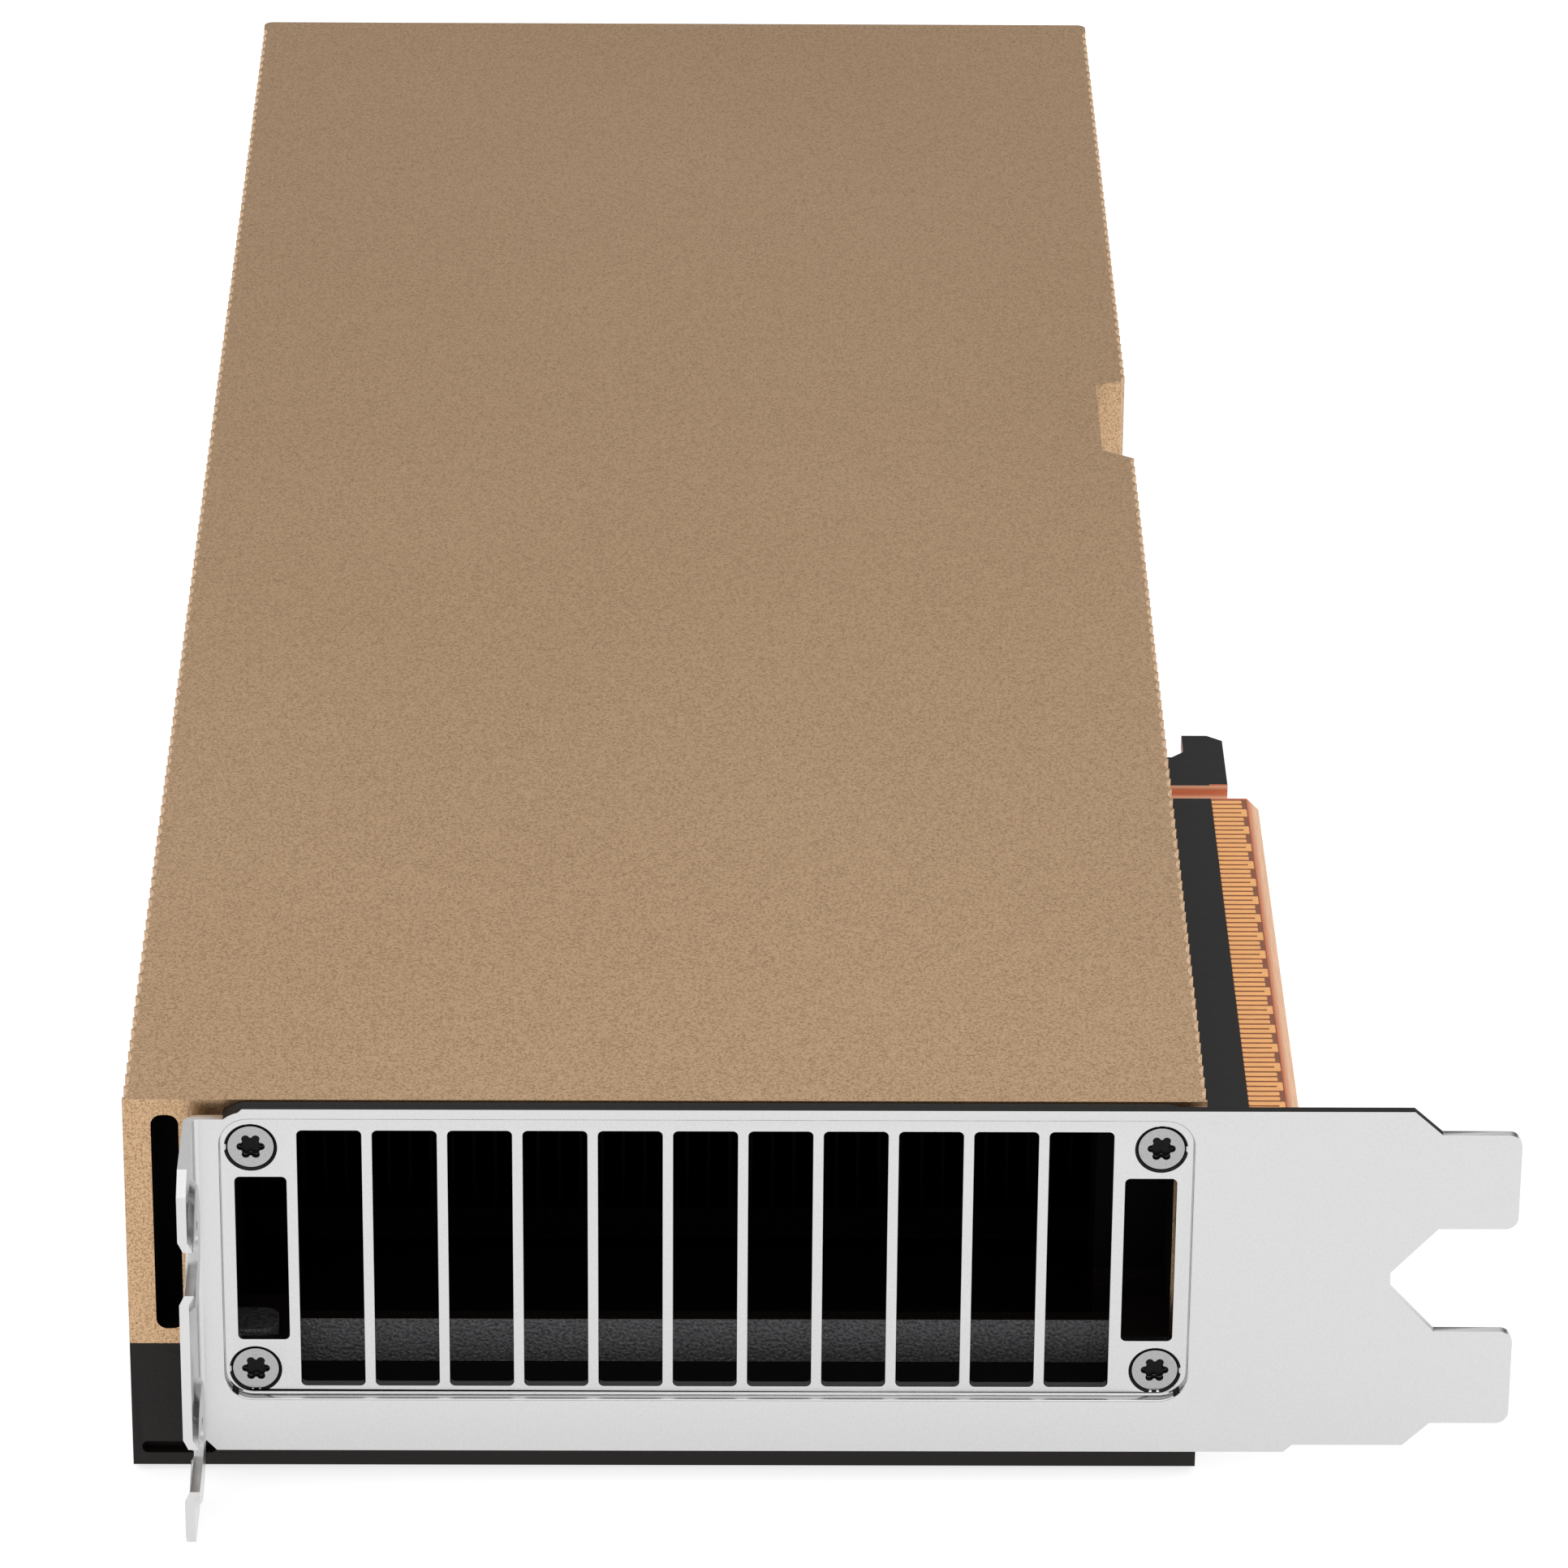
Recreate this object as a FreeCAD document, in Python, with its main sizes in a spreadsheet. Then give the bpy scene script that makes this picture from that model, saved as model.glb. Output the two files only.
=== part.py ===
import FreeCAD, Part
import math
import os
import re

import Sketcher

# Full-height, full-length, two-slot accelerator card with a passive cooler.
# Row frame: origin at the centre of the body's underside, +Z up through the card,
# -Y towards the slot bracket, +X towards the edge connector. All sizes in millimetres.

doc = FreeCAD.newDocument("AcceleratorCard")
sheet = doc.addObject("Spreadsheet::Sheet", "Sizes")

SIZES = (
    ("overrun", 1.0, "how far a cutting tool runs past the surface that it cuts"),
    # Body
    ("body_length", 265.7, "shroud and frame, front to rear"),
    ("body_width", 97.3, "shroud and frame, across"),
    ("body_height", 38.1, "underside to top face"),
    ("split_height", 12.84, "where the shroud meets the frame"),
    # Top shroud
    ("shroud_side", 2.6, "side wall"),
    ("shroud_top", 1.6, "top wall"),
    ("shroud_front", 1.6, "front wall"),
    ("flute_pitch", 2.156, "spacing of the side flutes"),
    ("flute_depth", 0.45, "depth of a side flute"),
    ("flute_lead", 0.3, "plain land before the first flute"),
    ("rear_corner", 1.0, "radius of the rear corners"),
    ("mouth_left", 3.5, "front air mouth, from the tab's outer face"),
    ("mouth_right", 1.83, "front air mouth, from the right side of the body"),
    ("vent_width", 2.5, "front slot beside the bracket"),
    ("vent_height", 22.1, "front slot beside the bracket"),
    ("vent_inset", 2.5, "front slot, from the side of the body"),
    ("vent_sill", 1.56, "front slot, above the split"),
    ("vent_corner", 1.0, "corner radius of the front slot"),
    ("notch_depth", 3.25, "latch notch in the right side"),
    ("notch_start", 7.6, "latch notch, front end"),
    ("notch_length", 16.8, "latch notch along its inner wall"),
    ("notch_front_slant", 2.2, "run of the front end of the notch"),
    ("notch_rear_slant", 1.3, "run of the rear end of the notch"),
    ("notch_liner", 1.6, "wall behind the notch"),
    # Base frame
    ("frame_wall", 2.0, "side and rear wall"),
    ("front_ledge_depth", 4.5, "ledge in front of the cross wall"),
    ("front_ledge_height", 8.4, "top of that ledge"),
    ("cross_wall", 1.5, "upright wall behind the ledge"),
    ("flange_width", 5.0, "inner flange over the board"),
    ("flange_height", 3.0, "inner flange over the board"),
    ("slit_inset", 0.86, "front slit, from the side of the body"),
    ("slit_length", 6.8, "front slit"),
    ("slit_height", 1.2, "front slit"),
    ("slit_sill", 1.26, "front slit, above the underside"),
    ("slit_depth", 1.2, "front slit"),
    ("slit_corner", 0.54, "corner radius of the front slit"),
    ("tongue_clearance", 0.25, "frame opening over the edge connector"),
    ("tongue_end_gap", 1.0, "frame opening at the ends of the edge connector"),
    # Corner columns, screws and rear fixing holes
    ("column_width", 7.0, "corner column, across"),
    ("column_length", 10.0, "front corner column, along"),
    ("column_setback", 14.0, "front corner column, from the front"),
    ("rear_column_length", 17.0, "rear corner column, along"),
    ("column_screw_inset", 3.5, "screw, from the frame wall"),
    ("column_screw_radius", 1.25, "corner screw"),
    ("column_screw_length", 24.0, "corner screw"),
    ("rear_screw_setback", 11.5, "rear corner screw, from the rear"),
    ("fixing_radius", 1.25, "rear fixing hole"),
    ("fixing_depth", 6.0, "rear fixing hole"),
    ("fixing_low", 8.5, "lower rear holes, above the underside"),
    ("fixing_high", 31.0, "upper rear holes, above the underside"),
    ("fixing_inset", 3.5, "rear fixing holes, from the frame wall"),
    ("thread_gap", 0.05, "radial gap round a screw in its thread"),
    ("screw_gap", 0.25, "radial gap round a screw in a plain hole"),
    # Backplate, insulator and standoffs
    ("plate_thickness", 1.2, "backplate"),
    ("plate_lip", 1.4, "frame lip round the backplate"),
    ("plate_gap", 0.1, "gap between backplate and lip"),
    ("insulator_thickness", 0.2, "insulating sheet"),
    ("insulator_margin", 5.8, "insulating sheet, inside the frame wall"),
    ("standoff_radius", 2.2, "standoff"),
    ("flange_screw_radius", 1.0, "backplate screw"),
    ("flange_screw_length", 6.6, "backplate screw"),
    ("flange_screw_runout", 0.3, "hole beyond the end of a backplate screw"),
    ("flange_screw_front", -79.7, "front backplate screws, from the middle"),
    ("flange_screw_middle", 15.9, "middle backplate screws, from the middle"),
    ("flange_screw_rear", 79.7, "rear backplate screws, from the middle"),
    ("head_ratio", 1.9, "countersunk head radius over shank radius"),
    # Circuit board
    ("board_base", 2.67, "underside of the board"),
    ("board_thickness", 1.57, "board"),
    ("board_gap", 0.25, "gap between the board and the frame walls"),
    ("tongue_overhang", 15.62, "edge connector, beyond the board's edge"),
    ("tongue_bevel", 1.2, "bevel of the tip, across"),
    ("tongue_bevel_height", 0.45, "bevel of the tip, off each face"),
    ("tongue_lead", 1.7, "lead-in at the ends of the tongue"),
    ("tongue_lead_across", 1.13, "lead-in at the ends of the tongue, across"),
    ("key_lead", 0.42, "chamfer at the mouth of the key notch"),
    ("key_place", -76.98, "middle of the key notch"),
    ("key_width", 1.9, "key notch"),
    ("key_depth", 7.0, "key notch"),
    ("tongue_near", 12.15, "near end of the tongue, from the key"),
    ("tongue_far", 72.48, "far end of the tongue, from the key"),
    ("hook_gap", 3.03, "slot between tongue and hook"),
    ("hook_gap_floor", 4.6, "floor of that slot, beyond the board's edge"),
    ("hook_reach", 12.64, "outer edge of the hook, beyond the board's edge"),
    ("hook_length", 11.96, "hook along the board"),
    ("hook_neck", 6.75, "width of the hook's neck"),
    ("hook_tail", 4.3, "width of the hook's tail"),
    ("hook_bevel", 1.6, "bevel of the hook"),
    ("hook_bevel_along", 1.23, "bevel of the hook, along"),
    ("hook_fillet", 1.28, "corner where the hook leaves the board"),
    ("contact_pitch", 1.0, "edge contacts"),
    ("contact_width", 0.7, "edge contact"),
    ("contact_thickness", 0.05, "edge contact"),
    ("contact_root", 4.9, "root of the contacts, back from the tip"),
    ("contact_end", 1.65, "end of the long contacts, back from the tip"),
    ("contact_step", 0.6, "how much shorter every second pair is"),
    # Processor package
    ("package_side", 55.0, "package substrate"),
    ("package_place", -12.0, "middle of the package along the board"),
    ("substrate_height", 2.7, "substrate on its solder balls"),
    ("silicon_height", 1.0, "die and memory stacks"),
    ("interface_thickness", 0.06, "thermal interface sheet"),
    ("die_width", 26.0, "die, across"),
    ("die_length", 32.0, "die, along"),
    ("stack_width", 7.8, "memory stack, across"),
    ("stack_length", 10.0, "memory stack, along"),
    ("stack_gap", 0.6, "gap between die and memory stacks"),
    ("ring_width", 3.5, "stiffener ring"),
    ("ring_height", 0.8, "stiffener ring"),
    # Cooler
    ("chamber_side_gap", 3.65, "vapour chamber to the frame wall"),
    ("chamber_front", 28.0, "vapour chamber, from the front of the body"),
    ("chamber_rear", 41.0, "vapour chamber, from the rear of the body"),
    ("chamber_thickness", 3.2, "vapour chamber"),
    ("fin_thickness", 0.3, "cooling fin"),
    ("fin_pitch", 2.0, "cooling fins"),
    ("fin_top_gap", 0.3, "gap above the fins"),
    ("post_radius", 2.4, "cooler post"),
    ("post_spacing", 66.0, "cooler posts, both ways"),
    ("post_crown", 0.4, "closed end of a cooler post"),
    ("retention_radius", 1.25, "cooler screw"),
    ("retention_head", 2.6, "cooler screw head"),
    ("retention_head_height", 1.2, "cooler screw head"),
    ("retention_reach", 1.0, "cooler screw's end below the chamber"),
    ("spring_thickness", 0.8, "spring plate"),
    ("spring_side", 73.0, "spring plate"),
    ("spring_window", 44.0, "window of the spring plate"),
    ("spring_gap", 0.25, "gap between the spring plate and the board"),
    # Parts on the board
    ("inductor_side", 6.4, "inductor"),
    ("inductor_height", 3.1, "inductor"),
    ("inductor_count", 6, "inductors on each side of the package"),
    ("inductor_pitch", 8.4, "inductors along the board"),
    ("stage_side", 5.0, "power stage"),
    ("stage_height", 0.9, "power stage"),
    ("stage_setback", 10.0, "power stages, from the package and its posts"),
    ("bulk_diameter", 6.3, "bulk capacitor"),
    ("bulk_height", 5.6, "bulk capacitor"),
    ("bulk_count", 7, "bulk capacitors in their row"),
    ("bulk_pitch", 7.4, "bulk capacitors across the board"),
    ("bulk_setback", 33.0, "bulk capacitor row, from the rear"),
    ("ceramic_length", 3.2, "ceramic capacitor"),
    ("ceramic_width", 1.6, "ceramic capacitor"),
    ("ceramic_height", 1.2, "ceramic capacitor"),
    ("ceramic_count", 12, "ceramic capacitors in a row"),
    ("ceramic_pitch", 6.4, "ceramic capacitors in a row"),
    ("ceramic_front", 67.0, "front ceramic row, from the middle of the package"),
    ("ceramic_rear", 61.0, "rear ceramic row, from the middle of the package"),
    ("chip_height", 1.1, "small chip"),
    ("controller_side", 7.0, "power controller"),
    ("controller_place", 18.0, "power controllers, from the middle"),
    ("controller_rear", 71.0, "power controllers, from the middle of the package"),
    ("firmware_length", 8.0, "firmware memory"),
    ("firmware_width", 6.0, "firmware memory"),
    ("firmware_front", 77.0, "firmware memory, from the middle of the package"),
    ("crystal_length", 5.0, "clock crystal"),
    ("crystal_width", 3.2, "clock crystal"),
    ("crystal_place", 16.0, "clock crystal, from the middle"),
    # Power inlet
    ("inlet_inset", 24.65, "middle of the power inlet, from the left side"),
    ("inlet_width", 18.8, "power inlet"),
    ("inlet_length", 14.5, "power inlet"),
    ("inlet_height", 10.4, "power inlet"),
    ("inlet_gap", 0.3, "frame opening round the power inlet"),
    ("way_pitch", 4.2, "ways of the power inlet"),
    ("way_side", 3.4, "one way"),
    ("way_depth", 10.0, "one way"),
    ("way_low", 3.1, "lower ways, above the board"),
    ("pin_side", 1.1, "power pin"),
    ("pin_length", 8.0, "power pin"),
    ("latch_width", 5.0, "latch ramp"),
    ("latch_length", 5.0, "latch ramp"),
    ("latch_height", 1.4, "latch ramp"),
    ("latch_root", 0.2, "how deep the latch ramp is rooted"),
    # Slot bracket, measured from the tab's outer face, the right side and the underside
    ("sheet_thickness", 0.86, "bracket sheet"),
    ("bracket_standoff", 2.0, "bracket's outer face to the body"),
    ("tab_setback", 5.57, "tab's outer face, from the side of the body"),
    ("bracket_base", 2.76, "bottom edge"),
    ("bracket_top", 38.2, "top edge"),
    ("base_step", 0.75, "step in the bottom edge"),
    ("base_step_place", 8.27, "where the bottom edge steps up, past the right side"),
    ("base_step_run", 0.8, "run of that step"),
    ("shoulder_place", 18.72, "start of the shoulders, past the right side"),
    ("shoulder_run", 2.4, "run of the shoulders"),
    ("shoulder_back", 0.2, "how much earlier the upper shoulder starts"),
    ("tongue_reach", 28.29, "tip of the tongues, past the right side"),
    ("tongue_width", 9.65, "tongue"),
    ("tongue_low", 10.68, "middle of the lower tongue"),
    ("slot_spacing", 20.32, "spacing of the expansion slots"),
    ("tongue_corner", 1.2, "corner radius of the tongues"),
    ("throat_place", 16.97, "throat between the tongues, past the right side"),
    ("throat_width", 1.6, "throat between the tongues"),
    ("top_step", 1.05, "step at the left end of the top edge"),
    ("top_step_place", 4.2, "length of that step"),
    ("heel_step", 1.0, "step at the left end of the bottom edge"),
    ("heel_place", 1.35, "length of that step"),
    ("heel_run", 0.9, "run of that step's slope"),
    ("tab_length", 11.44, "tab"),
    ("tab_base", -0.6, "lower end of the tab"),
    ("tab_chamfer", 2.3, "chamfer at the tab's upper front corner"),
    ("tab_chamfer_drop", 1.61, "height of that chamfer"),
    ("tab_corner", 1.0, "chamfers at the tab's lower end"),
    ("tab_relief", 2.2, "relief of the tab below the plate"),
    ("screw_notch_width", 4.42, "screw notch in the tab"),
    ("screw_notch_depth", 5.09, "screw notch, edge to centre of its end"),
    ("screw_notch_low", 7.45, "lower screw notch"),
    ("dish_radius", 6.0, "dish round a screw notch"),
    ("dish_depth", 0.5, "dish round a screw notch"),
    ("recess_left", 3.16, "pressed panel"),
    ("recess_right", 1.13, "pressed panel, from the right side"),
    ("recess_base", 8.2, "pressed panel"),
    ("recess_top", 37.1, "pressed panel"),
    ("recess_depth", 1.0, "pressed panel"),
    ("recess_corner", 2.6, "corner radius of the pressed panel"),
    ("vane_first", 10.03, "first long slot"),
    ("vane_pitch", 6.757, "long slots"),
    ("vane_width", 5.84, "long slot"),
    ("vane_base", 9.0, "long slot"),
    ("vane_top", 35.52, "long slot"),
    ("vane_corner", 0.5, "corner radius of the slots"),
    ("port_left", 4.38, "left short slot"),
    ("port_right", 7.23, "right short slot, from the right side"),
    ("port_width", 4.7, "short slot"),
    ("port_base", 13.85, "short slot"),
    ("port_top", 30.75, "short slot"),
    ("mount_left", 5.91, "left bracket screws"),
    ("mount_right", 4.03, "right bracket screws, from the right side"),
    ("mount_low", 10.73, "lower bracket screws"),
    ("mount_high", 33.76, "upper bracket screws"),
    ("mount_screw_radius", 1.45, "bracket screw"),
    ("mount_screw_length", 7.0, "bracket screw"),
    ("mount_head_radius", 2.2, "bracket screw head"),
    ("mount_seat_radius", 2.4, "countersink in the bracket"),
    ("mount_head_sink", 0.12, "how far the head lies below the panel"),
    ("mount_boss_side", 3.0, "half width of a bracket screw boss"),
    ("mount_boss_length", 9.0, "bracket screw boss"),
    ("lobe_radius", 0.35, "lobe of the six-lobe drive"),
    ("lobe_circle", 0.9, "circle of the lobes"),
    ("drive_depth", 0.7, "depth of the drive"),
)

for line, (alias, value, meaning) in enumerate(SIZES, 1):
    sheet.set(f"A{line}", meaning)
    sheet.set(f"B{line}", str(value))
    sheet.setAlias(f"B{line}", alias)
doc.recompute()

# Places that several pieces share.
LEFT = "(-body_width / 2)"
RIGHT = "(body_width / 2)"
FRONT = "(-body_length / 2)"
REAR = "(body_length / 2)"
BRACKET_FACE = "(-body_length / 2 - bracket_standoff)"
PANEL_FACE = f"({BRACKET_FACE} + recess_depth)"
TAB_FACE = "(-body_width / 2 + tab_setback)"
TAB_TO_RIGHT = "(body_width - tab_setback)"
BOARD_TOP = "(board_base + board_thickness)"
CHAMBER_BASE = f"({BOARD_TOP} + substrate_height + silicon_height + interface_thickness)"
CHAMBER_TOP = f"({CHAMBER_BASE} + chamber_thickness)"
CHAMBER_START = f"({FRONT} + chamber_front)"
CHAMBER_END = f"({REAR} - chamber_rear)"
FRAME_INSIDE = "(body_width / 2 - frame_wall)"
CHAMBER_WIDTH = f"(2 * ({FRAME_INSIDE} - chamber_side_gap))"
FRONT_BAR = "(front_ledge_depth + cross_wall)"
DUCT_TOP = "(body_height - shroud_top)"
SCREW_LINE = f"({FRAME_INSIDE} - column_screw_inset)"
FRONT_SCREW_Y = f"({FRONT} + column_setback + column_length / 2)"
REAR_SCREW_Y = f"({REAR} - rear_screw_setback)"
FLANGE_LINE = f"({FRAME_INSIDE} - flange_width / 2)"
INDUCTOR_LINE = f"((package_side / 2 + {FRAME_INSIDE} - flange_width) / 2)"
BOARD_EDGE = f"({FRAME_INSIDE} - board_gap)"
TONGUE_TIP = f"({BOARD_EDGE} + tongue_overhang)"
BOARD_FRONT = f"({FRONT} + {FRONT_BAR} + board_gap)"
BOARD_REAR = f"({REAR} - frame_wall - board_gap)"
TONGUE_START = "(key_place - tongue_near)"
TONGUE_END = "(key_place + tongue_far)"
HOOK_START = f"({TONGUE_END} + hook_gap)"
HOOK_END = f"({HOOK_START} + hook_length)"
NOTCH_FLOOR = "(body_width / 2 - notch_depth)"
INLET_X = f"({LEFT} + inlet_inset)"
MOUNT_PLACES = {"left": "mount_left", "right": f"({TAB_TO_RIGHT} - mount_right)"}
PORT_PLACES = {"left": "port_left", "right": f"({TAB_TO_RIGHT} - port_right)"}

TURNS = {
    "x": FreeCAD.Rotation(FreeCAD.Vector(0, 1, 0), 90),
    "y": FreeCAD.Rotation(FreeCAD.Vector(1, 0, 0), -90),
    "z": FreeCAD.Rotation(),
}


def sized(text):
    """Turn plain aliases into references to the sheet."""
    return re.sub(r"[a-z][a-z_]+", lambda word: "Sizes." + word.group(0), text)


def number(text):
    """The present value of an expression in the sheet's aliases."""
    return float(sheet.evalExpression(sized(text)))


def count(alias):
    return int(round(sheet.get(alias)))


def copies(room, pitch):
    """How many copies fit in a length, one to each pitch."""
    return int(number(f"({room}) / {pitch}"))


def bind(item, **sizes):
    for prop, text in sizes.items():
        item.setExpression(prop, sized(text))
    return item


def place(item, x, y, z, turn="z"):
    item.Placement = FreeCAD.Placement(FreeCAD.Vector(), TURNS[turn])
    for axis, text in zip("xyz", (x, y, z)):
        item.setExpression(f"Placement.Base.{axis}", sized(text))
    return item


def box(name, x, y, z, length, width, height):
    item = bind(doc.addObject("Part::Box", name), Length=length, Width=width, Height=height)
    return place(item, x, y, z)


def centred_box(name, x, y, z, length, width, height):
    """A box centred on x and y that stands on z."""
    return box(name, f"{x} - ({length}) / 2", f"{y} - ({width}) / 2", z, length, width, height)


def cylinder(name, x, y, z, radius, height, turn="z"):
    item = bind(doc.addObject("Part::Cylinder", name), Radius=radius, Height=height)
    return place(item, x, y, z, turn)


def cone(name, x, y, z, start_radius, end_radius, height, turn="z"):
    item = doc.addObject("Part::Cone", name)
    bind(item, Radius1=start_radius, Radius2=end_radius, Height=height)
    return place(item, x, y, z, turn)


def group(name, items):
    item = doc.addObject("Part::Compound", name)
    item.Links = items
    return item


def fuse(name, items):
    item = doc.addObject("Part::MultiFuse", name)
    item.Shapes = items
    item.Refine = True
    return item


def cut(name, base, tools):
    item = doc.addObject("Part::Cut", name)
    item.Base = base
    item.Tool = tools[0] if len(tools) == 1 else fuse(name + "_tools", tools)
    return item


def origin_plane(body, role):
    for feature in body.Origin.OriginFeatures:
        if feature.Role == role:
            return feature


def new_sketch(body, name, role):
    sketch = body.newObject("Sketcher::SketchObject", name)
    sketch.AttachmentSupport = (origin_plane(body, role), [""])
    sketch.MapMode = "FlatFace"
    return sketch


def draw_polygon(sketch, points):
    """Closed outline whose corners are each bound to the sheet in both directions."""
    first = sketch.GeometryCount
    corners = [FreeCAD.Vector(number(x), number(y), 0) for x, y in points]
    size = len(corners)
    for i in range(size):
        sketch.addGeometry(Part.LineSegment(corners[i], corners[(i + 1) % size]), False)
    for i in range(size):
        sketch.addConstraint(
            Sketcher.Constraint("Coincident", first + i, 2, first + (i + 1) % size, 1))
    for i, pair in enumerate(points):
        for kind, text, value in zip(("DistanceX", "DistanceY"), pair, corners[i]):
            index = sketch.addConstraint(
                Sketcher.Constraint(kind, -1, 1, first + i, 1, value))
            sketch.setExpression(f"Constraints[{index}]", sized(text))


def rectangle(x_low, x_high, y_low, y_high):
    return [(x_low, y_low), (x_high, y_low), (x_high, y_high), (x_low, y_high)]


def pad(body, name, sketch, length, turned=False):
    feature = body.newObject("PartDesign::Pad", name)
    feature.Profile = sketch
    feature.Reversed = turned
    bind(feature, Length=length)
    sketch.Visibility = False
    return feature


def round_edges(body, name, radius, wanted):
    """Round the tip's edges whose direction and middle satisfy the test."""
    doc.recompute()
    base = body.Tip
    edges = []
    for i, edge in enumerate(base.Shape.Edges, 1):
        if not isinstance(edge.Curve, Part.Line):
            continue
        along = edge.tangentAt(edge.FirstParameter)
        middle = edge.valueAt((edge.FirstParameter + edge.LastParameter) / 2)
        if wanted(along, middle):
            edges.append(f"Edge{i}")
    feature = body.newObject("PartDesign::Fillet", name)
    feature.Base = (base, edges)
    bind(feature, Radius=radius)
    return feature


def prism(name, role, points, length, turned=False):
    """A body made from one outline."""
    body = doc.addObject("PartDesign::Body", name)
    sketch = new_sketch(body, name + "_sketch", role)
    draw_polygon(sketch, points)
    pad(body, name + "_pad", sketch, length, turned)
    return body


def near(value, target, tolerance=0.01):
    return abs(value - target) < tolerance


# ---------------------------------------------------------------- screws

def countersunk_screw(name, x, y, z, radius, head_radius, length, turn):
    """Countersunk screw whose head's face lies at the given point."""
    head_height = f"({head_radius} - {radius})"
    head = cone(name + "_head", x, y, z, head_radius, radius, head_height, turn)
    shank = cylinder(name + "_shank", x, y, z, radius, length, turn)
    return fuse(name, [head, shank])


def six_lobe_drive(name, x, y, z):
    """Tool that sinks the drive into a bracket screw's head, along +Y."""
    start = f"{y} - overrun"
    depth = "drive_depth + overrun"
    lobes = [cylinder(name + "_core", x, start, z, "lobe_circle", depth, "y")]
    for i in range(6):
        turn = math.radians(60 * i)
        across = f"{x} + lobe_circle * {math.cos(turn):.9f}"
        up = f"{z} + lobe_circle * {math.sin(turn):.9f}"
        lobes.append(cylinder(f"{name}_lobe_{i}", across, start, up, "lobe_radius", depth, "y"))
    return fuse(name, lobes)


SIDES = (("left", "-1"), ("right", "1"))
CORNERS = [
    (f"{end}_{side}", f"{sign} * {SCREW_LINE}", along)
    for end, along in (("front", FRONT_SCREW_Y), ("rear", REAR_SCREW_Y))
    for side, sign in SIDES
]
MOUNT_SCREWS = [
    (f"{level}_{side}", f"({TAB_FACE} + {place_across})", f"mount_{level}")
    for level in ("low", "high")
    for side, place_across in MOUNT_PLACES.items()
]
FLANGE_SCREWS = [
    (f"{side}_{part}", f"{sign} * {FLANGE_LINE}", f"flange_screw_{part}")
    for side, sign in SIDES
    for part in ("front", "middle", "rear")
]
POSTS = [
    (f"{end}_{side}", f"({sign} * post_spacing / 2)",
     f"(package_place + {way} * post_spacing / 2)")
    for end, way in (("front", "-1"), ("rear", "1"))
    for side, sign in SIDES
]
FIXINGS = [
    (f"{level}_{side}", f"{sign} * ({FRAME_INSIDE} - fixing_inset)", f"fixing_{level}")
    for level in ("low", "high")
    for side, sign in SIDES
]


def column(name, side, z, height, end):
    """Corner column that carries a corner screw."""
    x = f"-{FRAME_INSIDE} - frame_wall / 2" if side == "left" else f"{FRAME_INSIDE} - column_width"
    width = "column_width + frame_wall / 2"
    if end == "front":
        return box(name, x, f"{FRONT} + column_setback", z, width, "column_length", height)
    return box(name, x, f"{REAR} - rear_column_length", z, width, "rear_column_length", height)


def columns(name, z, height):
    return [
        column(f"{name}_{end}_{side}", side, z, height, end)
        for end in ("front", "rear")
        for side in ("left", "right")
    ]


def corner_holes(name, z, radius, height):
    return [cylinder(f"{name}_{tag}", x, y, z, radius, height) for tag, x, y in CORNERS]


def mount_holes(name, level):
    """Threaded holes for the bracket screws of one level."""
    return [
        cylinder(f"{name}_{tag}", x, f"{FRONT} - overrun", z, "mount_screw_radius + thread_gap",
                 "mount_boss_length", "y")
        for tag, x, z in MOUNT_SCREWS
        if tag.startswith(level)
    ]


def fixing_holes(name, level):
    return [
        cylinder(f"{name}_{tag}", x, f"{REAR} - fixing_depth", z, "fixing_radius",
                 "fixing_depth + overrun", "y")
        for tag, x, z in FIXINGS
        if tag.startswith(level)
    ]


def mount_bosses(name, level, z, height):
    return [
        box(f"{name}_{tag}", f"{x} - mount_boss_side", FRONT, z, "2 * mount_boss_side",
            "mount_boss_length", height)
        for tag, x, _ in MOUNT_SCREWS
        if tag.startswith(level)
    ]


# ---------------------------------------------------------------- top shroud

def fluted_outline():
    """Plan of the shroud: scalloped flutes down both sides, rounded rear corners."""
    half_width = number(RIGHT)
    front = number(FRONT)
    rear = number(REAR)
    pitch = sheet.get("flute_pitch")
    depth = sheet.get("flute_depth")
    corner = sheet.get("rear_corner")
    start = front + sheet.get("flute_lead")
    flutes = int((rear - corner - start) / pitch)
    last = start + flutes * pitch

    def point(x, y):
        return FreeCAD.Vector(x, y, 0)

    def flute(x, y_from, y_to):
        inward = x - depth if x > 0 else x + depth
        middle = point(inward, (y_from + y_to) / 2)
        return Part.Arc(point(x, y_from), middle, point(x, y_to)).toShape()

    slack = corner * (1 - 0.5 ** 0.5)
    edges = [Part.makeLine(point(-half_width, front), point(half_width, front))]
    edges.append(Part.makeLine(point(half_width, front), point(half_width, start)))
    for i in range(flutes):
        edges.append(flute(half_width, start + i * pitch, start + (i + 1) * pitch))
    edges.append(Part.makeLine(point(half_width, last), point(half_width, rear - corner)))
    edges.append(Part.Arc(point(half_width, rear - corner),
                          point(half_width - slack, rear - slack),
                          point(half_width - corner, rear)).toShape())
    edges.append(Part.makeLine(point(half_width - corner, rear),
                               point(corner - half_width, rear)))
    edges.append(Part.Arc(point(corner - half_width, rear),
                          point(slack - half_width, rear - slack),
                          point(-half_width, rear - corner)).toShape())
    edges.append(Part.makeLine(point(-half_width, rear - corner), point(-half_width, last)))
    for i in reversed(range(flutes)):
        edges.append(flute(-half_width, start + (i + 1) * pitch, start + i * pitch))
    edges.append(Part.makeLine(point(-half_width, start), point(-half_width, front)))
    return Part.Wire(edges)


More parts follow.
